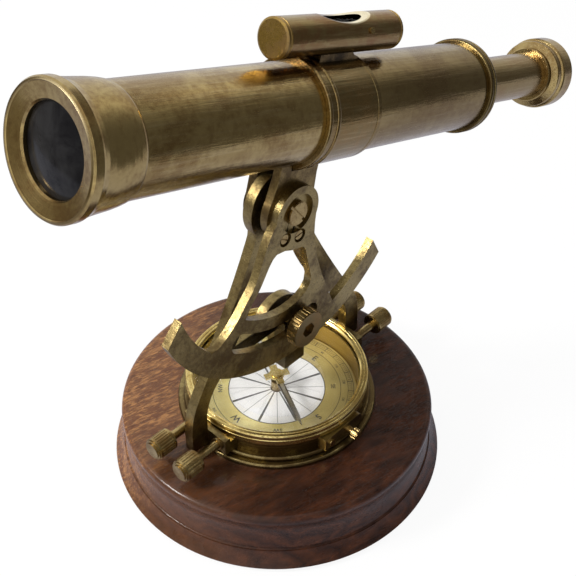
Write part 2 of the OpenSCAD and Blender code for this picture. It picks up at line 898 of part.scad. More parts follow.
module frame_outline() {
  difference() {
    union() {
      polygon(concat(leg_outside, mirrored(leg_outside)));
      translate([0, pivot_z])
        circle(r = head_r);
    }
    polygon(concat(leg_inside, mirrored(leg_inside)));
    // rounded apex of the window
    translate([0, pivot_z - 32.4])
      circle(r = 12.4);
  }
  // cross bar with its round boss
  intersection() {
    polygon(concat(leg_outside, mirrored(leg_outside)));
    union() {
      translate([-leg_x, bar_z])
        square([2 * leg_x, bar_h]);
      difference() {
        translate([0, clamp_z - bar_boss_drop])
          circle(r = bar_boss_r);
        translate([-leg_x, 0])
          square([2 * leg_x, bar_z]);
      }
    }
  }
}

module frame() {
  color(dark_brass)
    difference() {
      union() {
        plate_y(-frame_y, frame_y)
          frame_outline();
        translate([0, 0, pivot_z])
          bar_y(boss_r, -near_back, 0);
        translate([block_x - block_w / 2, -sector_back, block_z])
          cube([block_w, sector_back + frame_y, bar_z + bar_h - block_z]);
        for (s = [-1, 1])
          translate([s * (foot_x + foot_t / 2) - foot_t / 2, -foot_w / 2, foot_z0])
            cube([foot_t, foot_w, foot_z1 - foot_z0]);
      }
      translate([0, 0, pivot_z])
        bar_y(pivot_r + fit, -near_back - 1, frame_y + 1);
      translate([0, 0, clamp_z])
        bar_y(stud_r + fit, -sector_back - 1, frame_y + 1);
      for (s = [-1, 1], y = [-foot_screw_y, foot_screw_y])
        translate([s * (foot_x + foot_t / 2), y, foot_screw_z])
          bar_x(foot_shank_r + fit, -foot_t, foot_t);
    }
}

module clamp_knob() {
  color(brass)
    translate([0, 0, clamp_z])
      difference() {
        union() {
          bar_y(knob_r - 0.4, -knob_front, -knob_back);
          bar_y(knob_r, -knob_front + 0.4, -knob_back);
          bar_y(neck_r, -knob_back - 0.5, -sector_front - washer_t);
          bar_y(stud_r, -knob_back, frame_y + 1.6);
        }
        // socket for a key
        bar_y(3.4, -knob_front - 1, -knob_front + 2.4, $fn = 6);
        for (a = [0 : 12 : 359])
          rotate([0, a, 0])
            translate([knob_r + 0.15, 0, 0])
              bar_y(0.5, -knob_front - 1, -knob_back + 1, $fn = 12);
      }
}

module clamp_washer() {
  color(dark_brass)
    translate([0, 0, clamp_z])
      difference() {
        bar_y(washer_r, -sector_front - washer_t, -sector_front);
        bar_y(stud_r + fit, -sector_front - 2, 0);
      }
}

// the sector's own frame: straight down is its middle line
module on_sector() {
  tilted()
    rotate([0, -sector_lean, 0])
      children();
}

module at_ties() {
  for (a = [-tie_ang, tie_ang])
    rotate([0, -a, 0])
      translate([0, 0, -tie_r])
        children();
}

// the rim with its oblique ends
module sector_rim() {
  step_left = tip_bevel_left / rim_w;
  step_right = tip_bevel_right / rim_w;
  far = 2 * rim_out;
  intersection() {
    difference() {
      circle(r = rim_out, $fn = 128);
      circle(r = rim_in, $fn = 128);
    }
    polygon([
      [0, 0],
      polar(rim_in, -tip_left - tip_bevel_left),
      polar(rim_out + 1, -tip_left + step_left),
      polar(far, -tip_left),
      polar(far, 0),
      polar(far, tip_right),
      polar(rim_out + 1, tip_right - step_right),
      polar(rim_in, tip_right + tip_bevel_right)
    ]);
  }
}

// left edge of the plate, from the hub down to the rim
left_edge = concat(
  curve([polar(hub_r, -79), polar(19.7, -54.3), polar(25.2, -left_out - 3.1), polar(34.3, -left_out)], 6),
  curve([
    polar(34.3, -left_out), polar(41.1, -left_out), polar(slot_in - 2.4, -left_out + 2.9),
    polar(rim_in - 2.7, -left_out - 0.8)
  ], 6)
);

// lower and right edge of the plate, along the rim and up to the hub
right_edge = concat(
  [for (i = [0 : 16]) polar(rim_in + 1, (i * right_out - (16 - i) * (left_out + 4)) / 16)],
  curve([polar(41.8, right_out), polar(23.6, right_out + 1.7), polar(16.3, 48.5), polar(hub_r, 80)], 6)
);

// window between the arms
window_edge = concat(
  curve([
    polar(apex_r + 1.4, -left_in - 0.6), polar(apex_r + 5.3, -left_in - 7.8), polar(29.6, -left_in + 2.8),
    polar(38.7, -left_in)
  ], 6),
  [for (a = [-left_in + 0.8 : 4 : 3]) polar(web_in, a)],
  curve([
    polar(web_in, 4), polar(web_in, 12.1), polar(web_in - 0.3, right_in - 1.5), polar(36.3, right_in)
  ], 6),
  [polar(apex_r + 3.8, right_in), polar(apex_r + 1.6, right_in - 3.4), polar(apex_r, 4)],
  [polar(apex_r - 0.5, -11)]
);

module sector_outline() {
  difference() {
    union() {
      circle(r = hub_r);
      polygon(concat(left_edge, right_edge));
      sector_rim();
    }
    polygon(window_edge);
    ring_part(slot_out, slot_in, -slot_left, slot_right);
    translate(polar(slot_r, -slot_left))
      circle(r = slot_w / 2);
    translate(polar(slot_r, slot_right))
      circle(r = slot_w / 2);
  }
}

module sector() {
  color(dark_brass)
    on_sector()
      difference() {
        plate_y(-sector_front, -sector_back)
          sector_outline();
        bar_y(pivot_r + fit, -sector_front - 1, 0);
        bar_y(pivot_recess_r, -sector_front - 1, -sector_front + recess_d);
        at_ties() {
          bar_y(1.2 + fit, -sector_front - 1, 0);
          bar_y(tie_recess_r, -sector_front - 1, -sector_front + recess_d);
        }
      }
}

module sector_screws() {
  color(brass)
    on_sector()
      at_ties()
        difference() {
          union() {
            bar_y(tie_head_r, -sector_front + recess_d - 1.3, -sector_front + recess_d);
            bar_y(1.2, -sector_front + 1, -near_back - 0.6);
          }
          translate([-tie_head_r - 1, -sector_front + recess_d - 2, -0.3])
            cube([2 * tie_head_r + 2, 1.3, 0.6]);
        }
}

module pivot_screw() {
  color(brass)
    tilted()
      difference() {
        union() {
          bar_y(pivot_head_r - 0.3, -sector_front - 0.4, -sector_front + recess_d);
          bar_y(pivot_head_r, -sector_front - 0.1, -sector_front + recess_d);
          bar_y(pivot_r, -sector_front + 1, far_front + 3.4);
        }
        rotate([0, 37, 0])
          translate([-pivot_head_r - 1, -sector_front - 1.4, -0.6])
            cube([2 * pivot_head_r + 2, 2, 1.2]);
      }
}

module pivot_nut() {
  color(brass)
    tilted()
      difference() {
        translate([0, far_front + 2.6, 0])
          rotate([90, 0, 0])
            cylinder(r = pivot_r + 3, h = 2.6, $fn = 6);
        bar_y(pivot_r + fit, far_front - 1, far_front + 4);
      }
}

// one cheek of the fork, cut to lie against the collar and the tube
module cheek(r, y0, y1) {
  difference() {
    union() {
      bar_y(r, y0, y1);
      plate_y(y0, y1)
        polygon([
          [0.4 - r, 1], [neck_x0, 14], [neck_x0, axis_lift - 12], [neck_x1, axis_lift - 12],
          [neck_x1, 14], [r - 1, 1]
        ]);
    }
    bar_y(pivot_r + fit, y0 - 1, y1 + 1);
    translate([0, 0, axis_lift]) {
      bar_x(tube_r + fit, -40, 40);
      bar_x(ring_r + fit, collar_s0 - fit, collar_s0 + ring_l + fit);
      bar_x(collar_r + fit, collar_s0 + ring_l, 40);
    }
  }
}

module near_cheek() {
  color(brass)
    difference() {
      union() {
        tilted()
          cheek(near_r, -sector_back, -near_back);
        // lobe behind the web, which the two small screws hold
        tilted()
          translate([0, 0, 4.4 - tie_r])
            difference() {
              bar_y(lobe_r, -sector_back, -near_back);
              translate([0, 0, tie_r - 4.4])
                bar_y(pivot_r + 1, -sector_back - 1, -near_back + 1);
            }
      }
      on_sector()
        at_ties()
          bar_y(1.2 + fit, -sector_front - 1, -near_back - 0.5);
    }
}

module far_cheek() {
  color(brass)
    tilted()
      cheek(fork_r, frame_y, far_front);
}

module collar() {
  color(brass)
    difference() {
      on_tube()
        rotate_extrude($fn = 96)
          difference() {
            union() {
              translate([tube_r + fit, collar_s0])
                square([collar_r - tube_r - fit, collar_s1 - collar_s0]);
              translate([tube_r + fit, collar_s0])
                square([ring_r - 0.9 - tube_r - fit, ring_l]);
              translate([ring_r - 0.9, collar_s0 + 0.9])
                circle(r = 0.9);
              translate([ring_r - 0.9, collar_s0 + ring_l - 0.9])
                circle(r = 0.9);
            }
            translate([collar_r + 0.1, collar_s1 - 2.2])
              circle(r = 0.35);
          }
      // room for the head of the frame
      tilted()
        bar_y(head_r + 0.45, -near_back - 0.2, far_front);
    }
}

module main_tube() {
  color(brass)
    on_tube()
      rotate_extrude($fn = 96)
        translate([tube_bore_r, tube_s0])
          square([tube_wall, tube_s1 - tube_s0]);
}

module objective_cell() {
  neck = tube_r + 0.25;
  socket = cell_l - socket_l;
  color(brass)
    on_tube()
      translate([0, 0, front_s])
        rotate_extrude($fn = 96)
          polygon([
            [opening_r, 2.6], [opening_r + 0.5, 1.8], [rim_r - 1.6, 0.5], [rim_r - 1.2, 0],
            [rim_r - 0.5, 0.2], [rim_r, 0.9], [rim_r, 3.8], [rim_r - 0.3, 4.6],
            [rim_r - 0.8, 6.4], [rim_r - 1.1, 9], [rim_r - 1.3, 12], [rim_r - 1.6, cell_l - 6.4],
            [rim_r - 2, cell_l - 3.2], [rim_r - 2.4, cell_l - 1.2], [neck, cell_l - 0.4],
            [neck, cell_l], [tube_r + fit, cell_l], [tube_r + fit, socket], [pocket_r, socket],
            [pocket_r, seat_depth], [opening_r, seat_depth]
          ]);
}

module objective_lens() {
  color(glass_colour)
    on_tube()
      translate([0, 0, lens_s])
        intersection() {
          cylinder(r = pocket_r - fit, h = lens_t);
          translate([0, 0, lens_curve_r])
            sphere(r = lens_curve_r, $fn = 160);
        }
}

module objective_retainer() {
  color(dark_brass)
    on_tube()
      translate([0, 0, lens_s + lens_t])
        difference() {
          cylinder(r = pocket_r - fit, h = 2);
          translate([0, 0, -1])
            cylinder(r = opening_r, h = 4);
        }
}

module guide_ring() {
  round_r = 0.9;
  rim = rear_ring_r - round_r;
  color(brass)
    on_tube()
      translate([0, 0, rear_s])
        rotate_extrude($fn = 96)
          difference() {
            union() {
              translate([draw_r + fit, -rear_ring_l])
                square([rim - draw_r - fit, rear_ring_l]);
              translate([rim, -rear_ring_l + round_r])
                square([round_r, rear_ring_l - 2 * round_r]);
              translate([rim, -rear_ring_l + round_r])
                circle(r = round_r);
              translate([rim, -round_r])
                circle(r = round_r);
            }
            translate([0, -rear_ring_l - 1])
              square([tube_r + fit, rear_ring_l + 1 - ring_lip]);
            translate([rear_ring_r + 0.2, -rear_ring_l / 2])
              circle(r = 0.7);
          }
}

module guide_bush() {
  color(dark_brass)
    on_tube()
      translate([0, 0, bush_s1 - bush_l])
        difference() {
          cylinder(r = tube_bore_r - fit, h = bush_l);
          translate([0, 0, -1])
            cylinder(r = draw_r + fit, h = bush_l + 2);
        }
}

module draw_tube() {
  color(bright_brass)
    on_tube()
      rotate_extrude($fn = 96)
        translate([draw_bore_r, draw_s0])
          square([draw_wall, draw_l]);
}

module draw_stop() {
  color(dark_brass)
    on_tube()
      translate([0, 0, draw_s0 - 1])
        difference() {
          cylinder(r = tube_bore_r - gap, h = stop_l);
          translate([0, 0, 1])
            cylinder(r = draw_r + fit, h = stop_l);
          translate([0, 0, -1])
            cylinder(r = draw_bore_r - 1, h = 4);
        }
}

module eyepiece_cup() {
  socket = draw_r + fit;
  mouth = -cup_socket - 3.8;
  color(brass)
    on_tube()
      translate([0, 0, eye_s])
        rotate_extrude($fn = 96)
          polygon([
            [socket, mouth], [draw_r + 1.7, mouth], [draw_r + 2.1, mouth + 0.4],
            [draw_r + 2.1, mouth + 2.2], [cup_r - 2.4, -13.8], [cup_r - 1.2, -13.2],
            [cup_r - 1, -12.6], [cup_r - 1, -10.2], [cup_r - 1.4, -9.8], [cup_r - 1.4, -9.4],
            [cup_r - 0.5, -9], [cup_r, -8.4], [cup_r, -1], [cup_r - 0.5, -0.3], [cup_r - 1.2, 0],
            [cup_r - 2, -0.2], [eye_hole_r + 2, -3.2], [eye_hole_r, -3.6], [eye_hole_r, -5.2],
            [eye_pocket_r, -5.2], [eye_pocket_r, -cup_socket], [socket, -cup_socket]
          ]);
}

module eye_lens() {
  color(glass_colour)
    on_tube()
      translate([0, 0, eye_s - 8.4])
        intersection() {
          cylinder(r = eye_pocket_r - fit, h = 3.2);
          translate([0, 0, eye_curve_r])
            sphere(r = eye_curve_r, $fn = 96);
        }
}

module eye_retainer() {
  color(dark_brass)
    on_tube()
      translate([0, 0, eye_ring_s])
        difference() {
          cylinder(r = eye_pocket_r - fit, h = eye_ring_l);
          translate([0, 0, -1])
            cylinder(r = eye_ring_bore, h = eye_ring_l + 2);
        }
}

module field_lens() {
  lens_h = 3;
  color(glass_colour)
    on_tube()
      translate([0, 0, field_s + 2])
        intersection() {
          cylinder(r = field_lens_r, h = lens_h);
          translate([0, 0, lens_h - field_curve_r])
            sphere(r = field_curve_r, $fn = 96);
        }
}

module field_cell() {
  color(dark_brass)
    on_tube()
      translate([0, 0, field_s])
        difference() {
          cylinder(r = draw_bore_r - fit, h = 7);
          translate([0, 0, -1])
            cylinder(r = field_seat_r, h = 12);
          translate([0, 0, 2])
            cylinder(r = field_lens_r + fit, h = 12);
        }
}

module level_post() {
  $fn = 192;
  low = axis_lift + collar_r - 5;
  foot = axis_lift + collar_r + 0.6;
  color(dark_brass)
    tilted()
      difference() {
        plate_y(-post_w / 2, post_w / 2)
          difference() {
            union() {
              translate([post_s0, low])
                square([post_s1 - post_s0, level_w - low]);
              translate([post_s0, low])
                square([post_s1 + flare - post_s0, foot + flare - low]);
            }
            translate([post_s1 + flare, foot + flare])
              circle(r = flare);
          }
        translate([0, 0, axis_lift])
          bar_x(collar_r + fit, -60, 60);
        translate([0, 0, level_w])
          bar_x(level_r + fit, -60, 60);
      }
}

module at_vial_screw() {
  translate([window_s + 10.5, 0, level_w])
    rotate([-22, 0, 0])
      children();
}

module level_tube() {
  color(brass)
    tilted()
      difference() {
        translate([0, 0, level_w])
          bar_x(level_r, vial_s0, vial_s1);
        translate([0, 0, level_w])
          bar_x(level_bore_r, vial_s0 - 1, vial_s1 + 1);
        translate([window_s, 0, level_w + level_r - window_d + window_arc_r])
          bar_y(window_arc_r, -level_r - 1, level_r + 1, $fn = 128);
        at_vial_screw()
          bar_y(0.8 + fit, -level_r - 1, 0);
      }
}

module level_cap() {
  rotate_extrude($fn = 96)
    difference() {
      union() {
        polygon([[0, 0], [level_r - 0.8, 0], [level_r, 0.5], [level_r, cap_t], [0, cap_t]]);
        translate([0, cap_t])
          square([level_bore_r - fit, plug_l]);
      }
      translate([-1, cap_t])
        square([vial_r + fit + 1, plug_l + 1]);
      translate([level_r + 0.1, cap_t - 1])
        circle(r = 0.35);
    }
}

module level_cap_front() {
  color(brass)
    on_level()
      translate([0, 0, level_s0])
        level_cap();
}

module level_cap_rear() {
  color(brass)
    on_level()
      translate([0, 0, level_s1])
        mirror([0, 0, 1])
          level_cap();
}

module level_vial() {
  color(glass_colour)
    on_level()
      translate([0, 0, vial_s0])
        difference() {
          cylinder(r = vial_r, h = vial_s1 - vial_s0);
          translate([0, 0, vial_end])
            cylinder(r = vial_r - vial_wall, h = vial_s1 - vial_s0 - 2 * vial_end);
        }
}

module level_spirit() {
  bubble_r = 1.6;
  bubble_l = 9;
  color([0.6, 0.75, 0.4, 0.5])
    on_level()
      translate([0, 0, vial_s0 + vial_end])
        difference() {
          cylinder(r = vial_r - vial_wall - 0.02, h = vial_s1 - vial_s0 - 2 * vial_end);
          // the air bubble, at the high end
          translate([-vial_r + vial_wall + bubble_r + gap, 0, bubble_r + gap]) {
            sphere(r = bubble_r);
            cylinder(r = bubble_r, h = bubble_l);
            translate([0, 0, bubble_l])
              sphere(r = bubble_r);
          }
        }
}

module vial_screw() {
  color(dark_brass)
    tilted()
      at_vial_screw()
        difference() {
          union() {
            bar_y(0.8, -level_r - 0.1, -vial_r - gap);
            bar_y(1.3, -level_r - 0.6, -level_r - 0.02);
          }
          translate([-2, -level_r - 1.2, -0.2])
            cube([4, 0.9, 0.4]);
        }
}

wooden_base();
felt_pad();
base_screws();
compass_bowl();
bezel_ring();
cover_glass();
compass_card();
needle_pin();
compass_needle();
needle_cap();
needle_lifter();
lifter_pin();
lock_plate();
lock_plate_screw();
needle_lock_screw();
lug_left();
lug_right();
foot_screw_left_far();
foot_screw_left_near();
foot_screw_right_far();
foot_screw_right_near();
frame();
clamp_knob();
clamp_washer();
sector();
sector_screws();
pivot_screw();
pivot_nut();
near_cheek();
far_cheek();
collar();
main_tube();
objective_cell();
objective_lens();
objective_retainer();
guide_ring();
guide_bush();
draw_tube();
draw_stop();
eyepiece_cup();
eye_lens();
eye_retainer();
field_lens();
field_cell();
level_post();
level_tube();
level_cap_front();
level_cap_rear();
level_vial();
level_spirit();
vial_screw();
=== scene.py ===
"""Looks of the telescopic alidade: finishes, softened castings, printed dial, studio and camera.

Lengths below are in millimetres and are turned into metres by MM. The frame's +Z is up, the
telescope lies along X with its object end towards -X, and the clamp faces -Y.
"""

import math

import bmesh
import bpy
import numpy as np
from mathutils import Matrix, Vector


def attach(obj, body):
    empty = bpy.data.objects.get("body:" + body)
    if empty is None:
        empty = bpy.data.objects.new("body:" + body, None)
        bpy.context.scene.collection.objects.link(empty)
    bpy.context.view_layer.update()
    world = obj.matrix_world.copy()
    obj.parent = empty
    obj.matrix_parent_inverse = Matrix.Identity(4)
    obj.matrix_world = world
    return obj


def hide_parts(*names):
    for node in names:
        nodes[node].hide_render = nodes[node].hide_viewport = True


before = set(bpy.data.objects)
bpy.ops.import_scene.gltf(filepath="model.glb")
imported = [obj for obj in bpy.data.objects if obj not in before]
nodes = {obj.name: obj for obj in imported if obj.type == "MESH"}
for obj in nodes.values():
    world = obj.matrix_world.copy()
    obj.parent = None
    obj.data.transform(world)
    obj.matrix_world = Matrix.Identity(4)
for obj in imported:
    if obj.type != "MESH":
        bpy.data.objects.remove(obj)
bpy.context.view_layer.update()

MM = 0.001

# places on the CAD model; S is a length along the tube from the pivot
PIVOT_Z = 135.0
TUBE_TILT = 17.3
AXIS_LIFT = 35.9
LEVEL_LIFT = 64.3
TUBE_BORE_R = 17.5
CELL_FRONT_S = -109.1
DRAW_BORE_R = 9.6
FRAME_FRONT_Y = -2.3
NEEDLE_Z = 39.2
NEEDLE_TOP_Z = 40.0
NEEDLE_LEN = 30.5
NEEDLE_DIR = 244.3
CARD_TOP = 32.0
BOWL_BORE_R = 36.0
LEVEL_R = 7.3

# the level's window: an arc over its length, cut down to its depth
WINDOW_S = 14.5
WINDOW_LEN = 27.0
WINDOW_DEPTH = 2.0
WINDOW_ARC_R = (WINDOW_LEN ** 2 / 4 + WINDOW_DEPTH ** 2) / (2 * WINDOW_DEPTH)
WINDOW_ARC_W = LEVEL_R - WINDOW_DEPTH + WINDOW_ARC_R
WINDOW_LIP = 0.35

# how far black paint reaches past a bore, and where the tube's darker rear part begins and ends
PAINT_PAST = 0.2
REAR_FROM = -12
REAR_TO = 48

# the part of the frame that the sector hides, darkened with painted shade
SHADE_X = (-33, 22)
SHADE_Z = (52, 96)

# the printed dial: radii from its middle, the degrees from point to point, and sizes of letters
RAY_FROM = 3
DISC_R = 21.5
LETTER_R = 25.1
LETTER_RING_R = 28.6
DIGIT_R = 30.2
TICK_IN_R = 31.9
TICK_OUT_R = 34.4
POINT_STEP = 45
MAIN_LETTER = 4.2
SMALL_LETTER = 2.7
PRINT_LIFT = 0.02
DIGIT_SIZE = 1.55

# the needle: where its points begin as a share of its length from the middle, and half widths
POINT_FROM = 0.84
NEEDLE_HALF = 1.5
NEEDLE_TAPER = 0.55
POINT_TAPER = 6.5
POINT_HALF = 0.03

# castings: the turn from which an edge is rounded, and how near loose corners are merged
SHARP_TURN = math.radians(35)
MERGE_WITHIN = 0.002

# the photograph's camera: place, angles in degrees, and lens
CAMERA_AT = (-221.0, -216.3, 361.9)
CAMERA_AZIMUTH = -46.52
CAMERA_ELEVATION = 41.22
CAMERA_ROLL = 0.17
CAMERA_LENS = 62.92
CAMERA_SENSOR = 36.0

# level directions as the photograph shows them
TO_LEFT = (-0.69, 0.725, 0.0)
TO_RIGHT = (0.69, -0.725, 0.0)
TO_BACK = (0.725, 0.69, 0.0)

# the wood: its grain's direction, the depth of its heart line, the step of its rings, and how
# far left and back of the middle its lighter part begins, partly figure and partly painted light
GRAIN_TURN = math.radians(-14)
HEART_DEPTH = 24
RING_STEP = 5.6
PALE_AND_LIT_WOOD_LEFT = 36
PALE_AND_LIT_WOOD_BACK = -34

# finishes
BRASS = (0.42, 0.315, 0.135, 1)
BRASS_BROWN = (0.25, 0.16, 0.06, 1)
BRASS_PALE = (0.52, 0.42, 0.24, 1)
CAP_GOLD = (0.36, 0.24, 0.06, 1)
LEVEL_BROWN = (0.23, 0.125, 0.05, 1)
BRASS_DULL = (0.27, 0.195, 0.08, 1)
FACE_SHADE = (0.17, 0.125, 0.05, 1)
CAST_BRASS = (0.31, 0.238, 0.1, 1)
FITTING_DULL = (0.17, 0.13, 0.052, 1)
# a dull brass made darker to paint the shade under the level onto the collar; the clamp knob uses it
# too
DULL_BRASS_AND_SHADE = (0.2, 0.148, 0.062, 1)
CAST_BROWN = (0.12, 0.08, 0.033, 1)
GILT = (0.83, 0.66, 0.27, 1)
BOWL_GOLD = (0.5, 0.365, 0.12, 1)
GILT_DEEP = (0.56, 0.4, 0.13, 1)
# near black, used both for specks of dirt and for painted shade
GRIME_AND_SHADE = (0.035, 0.024, 0.012, 1)
BLACK_PAINT = (0.012, 0.012, 0.013, 1)
INK = (0.02, 0.02, 0.022, 1)
DISC_WHITE = (0.97, 0.97, 0.97, 1)
DIAL_GOLD = (0.98, 0.86, 0.36, 1)
DIAL_DEEP = (0.7, 0.54, 0.15, 1)
DIAL_REFLECTION_DARK = (0.34, 0.25, 0.075, 1)
ROSEWOOD_DARK = (0.012, 0.004, 0.0024, 1)
ROSEWOOD = (0.048, 0.015, 0.006, 1)
ROSEWOOD_RED = (0.115, 0.034, 0.012, 1)
ROSEWOOD_BROWN = (0.18, 0.072, 0.026, 1)
ROSEWOOD_GOLD = (0.5, 0.24, 0.08, 1)
PORE = (0.014, 0.006, 0.005, 1)
LIP_BARE_AND_HIGHLIGHT = (0.9, 0.8, 0.55, 1)
DISC_GREY = (0.68, 0.69, 0.69, 1)
NEEDLE_DARK = (0.035, 0.028, 0.02, 1)
NEEDLE_PALE = (0.85, 0.82, 0.7, 1)
NEEDLE_DUST = (0.3, 0.25, 0.15, 1)
CLEAR = (0.97, 0.985, 0.98, 1)
SPIRIT_GREEN = (0.75, 0.86, 0.45, 1)
LENS_BLACK = (0.004, 0.004, 0.005, 1)
LENS_HAZE = (0.016, 0.016, 0.017, 1)
FELT_DARK = (0.02, 0.045, 0.025, 1)
FELT_GREEN = (0.07, 0.14, 0.085, 1)

# the studio: floor, wall and cards, where the wall and cards show only in reflections
WHITE = (1, 1, 1, 1)
FLOOR_PALE = (0.94, 0.94, 0.94, 1)
# how much plain white the floor gives to the camera and to metal
FLOOR_CAMERA_WHITE = 0.9
FLOOR_METAL_WHITE = 0.5
FLOOR_REACH = 3000.0
FLOOR_Z = -0.02
WALL_WARM = (1.0, 0.96, 0.88, 1)
WALL_NEAR = [[-250.0, -300.0], [100.0, -300.0], [480.0, -310.0]]
WALL_TURN_AT = (560, 110)
WALL_TURN_R = 420
WALL_END = [[980.0, 340.0]]
WALL_TOP = 1050
TABLE_GREY = (0.6, 0.6, 0.68, 1)
TABLE_X = (-700.0, 1400.0)
TABLE_Y = (-300.0, 700.0)
TABLE_Z = -0.01
CEILING_DARK = (0.12, 0.11, 0.1, 1)
CEILING_X = (390.0, 700.0)
CEILING_Y = (-280.0, 560.0)
CEILING_Z = 700.0
SKIRTING_BROWN = (0.24, 0.21, 0.16, 1)
SKIRTING_R = 720
SKIRTING_TOP = 330.0
SKIRTING_ARC = (95, 190)
# the world's strength as a light, then the lamps: name, place, size, power and colour
AMBIENT = 0.8
LAMP_AIM = (0, 0, 100)
LAMPS = [
    ("key", (-650, 370, 660), 200, 6.5, (1.0, 0.98, 0.95)),
    ("fill", (-300, -900, 700), 500, 1.6, (1.0, 1.0, 1.0)),
]


class Signal:
    """A shader socket. Arithmetic on it adds Math nodes to the finish that it belongs to."""

    def __init__(self, finish, socket):
        self.finish = finish
        self.socket = socket

    def math(self, operation, *others):
        return self.finish.math(operation, self, *others)

    def __add__(self, other):
        return self.finish.math("ADD", self, other)

    def __sub__(self, other):
        return self.finish.math("SUBTRACT", self, other)

    def __rsub__(self, other):
        return self.finish.math("SUBTRACT", other, self)

    def __mul__(self, other):
        return self.finish.math("MULTIPLY", self, other)

    def __truediv__(self, other):
        return self.finish.math("DIVIDE", self, other)

    def __pow__(self, other):
        return self.finish.math("POWER", self, other)

    def __abs__(self):
        return self.finish.math("ABSOLUTE", self)

    def __mod__(self, other):
        return self.finish.math("FLOORED_MODULO", self, other)

    def above(self, edge, blur):
        """0 below the edge and 1 above it, with a smooth step of width blur between."""
        settings = {"interpolation_type": "SMOOTHSTEP"}
        sockets = {"Value": self, "From Min": edge - blur / 2, "From Max": edge + blur / 2}
        return self.finish.node("ShaderNodeMapRange", settings, sockets)

    def below(self, edge, blur):
        """1 below the edge and 0 above it, with the same step."""
        return 1 - self.above(edge, blur)

    def between(self, low, high, blur):
        """1 from low to high, with the same step at both."""
        return self.above(low, blur) * self.below(high, blur)

    def spread(self, low, high):
        """A signal from 0 to 1, stretched to run from low to high."""
        return self * (high - low) + low


class Finish:
    """A material made of nodes. Positions are the piece's own coordinates in millimetres."""

    def __init__(self, name):
        self.start(bpy.data.materials.new(name), "ShaderNodeOutputMaterial")

    def start(self, owner, output):
        """Empties the node tree of a material or world and gives it its output node."""
        self.owner = owner
        owner.use_nodes = True
        self.tree = owner.node_tree
        self.tree.nodes.clear()
        self.output = self.tree.nodes.new(output)

    def node(self, kind, settings=None, sockets=None, output=0):
        """Adds a node, sets its settings first and then its sockets, and returns one output."""
        made = self.tree.nodes.new(kind)
        for key, value in (settings or {}).items():
            if key == "stops":
                fill_ramp(made.color_ramp, value)
            else:
                setattr(made, key, value)
        for key, value in (sockets or {}).items():
            if isinstance(value, Signal):
                self.tree.links.new(value.socket, made.inputs[key])
            else:
                made.inputs[key].default_value = value
        return Signal(self, made.outputs[output])

    def math(self, operation, *values):
        return self.node("ShaderNodeMath", {"operation": operation}, dict(enumerate(values)))

    def vector(self, operation, *values, output=0):
        sockets = dict(enumerate(values))
        return self.node("ShaderNodeVectorMath", {"operation": operation}, sockets, output)

    def dot(self, place, direction):
        """How far the place lies in a direction."""
        return self.vector("DOT_PRODUCT", place, direction, output=1)

    def join(self, x, y, z):
        """A vector of three signals."""
        return self.node("ShaderNodeCombineXYZ", {}, {0: x, 1: y, 2: z})

    def place(self):
        """The point of the piece, in millimetres."""
        coordinates = self.node("ShaderNodeTexCoord", {}, {}, output=3)
        return self.vector("MULTIPLY", coordinates, (1 / MM,) * 3)

    def mix(self, factor, first, second):
        """The first colour at a factor of 0 and the second at 1."""
        sockets = {0: factor, 6: first, 7: second}
        return self.node("ShaderNodeMix", {"data_type": "RGBA"}, sockets, output=2)

    def noise(self, where, scale, detail=3.0, rough=0.5, twist=0.0):
        sockets = {"Vector": where, "Scale": scale, "Detail": detail}
        sockets |= {"Roughness": rough, "Distortion": twist}
        return self.node("ShaderNodeTexNoise", {"noise_dimensions": "3D"}, sockets)

    def ramp(self, value, stops):
        """A colour that runs from stop to stop as the value rises."""
        return self.node("ShaderNodeValToRGB", {"stops": stops}, {0: value})

    def bump(self, height, depth):
        """Normals of a height from 0 to 1 that stands for depth, in millimetres."""
        sockets = {"Height": height, "Strength": 1.0, "Distance": depth * MM}
        return self.node("ShaderNodeBump", {}, sockets)

    def surface(self, **sockets):
        """Ends the finish with one Principled shader and returns the material."""
        named = {key.replace("_", " "): value for key, value in sockets.items()}
        named = {SOCKET_NAMES.get(key, key): value for key, value in named.items()}
        return self.close(self.node("ShaderNodeBsdfPrincipled", {}, named))

    def light(self, colour, strength):
        """Ends the finish with an even light and returns the material."""
        sockets = {"Color": colour, "Strength": strength}
        return self.close(self.node("ShaderNodeEmission", {}, sockets))

    def rays(self):
        """1 where the eye, a mirror or a glass looks at the point, as three signals."""
        kinds = ("Is Camera Ray", "Is Glossy Ray", "Is Transmission Ray")
        return [self.node("ShaderNodeLightPath", {}, {}, output=kind) for kind in kinds]

    def close(self, shader):
        """Joins the last shader to the output and returns the material or world."""
        self.tree.links.new(shader.socket, self.output.inputs["Surface"])
        return self.owner


class Sky(Finish):
    """The world's node tree, made in the same way as a material."""

    def __init__(self, name):
        self.start(bpy.data.worlds.new(name), "ShaderNodeOutputWorld")


# the normal is written as Normals in a finish, since its value is a bump
SOCKET_NAMES = {"Normals": "Normal"}


def fill_ramp(ramp, stops):
    """Puts the stops, each a place from 0 to 1 and a colour, into a colour ramp."""
    while len(ramp.elements) < len(stops):
        ramp.elements.new(0.5)
    for element, (at, colour) in zip(ramp.elements, stops):
        element.position = at
        element.color = colour


def polar(finish, place):
    """Radius from the Z axis and angle round it in degrees, 0 to 360."""
    split = finish.node("ShaderNodeSeparateXYZ", {}, {0: place})
    x = split
    y = Signal(finish, split.socket.node.outputs[1])
    radius = (x * x + y * y) ** 0.5
    degrees = y.math("ARCTAN2", x) * (180 / math.pi) + 360
    return radius, degrees % 360.0


def height(finish, place):
    """Height over the flat face that the base rests on."""
    return finish.dot(place, (0, 0, 1))


ALONG = (math.cos(math.radians(TUBE_TILT)), 0.0, -math.sin(math.radians(TUBE_TILT)))
LIFT = (-ALONG[2], 0.0, ALONG[0])


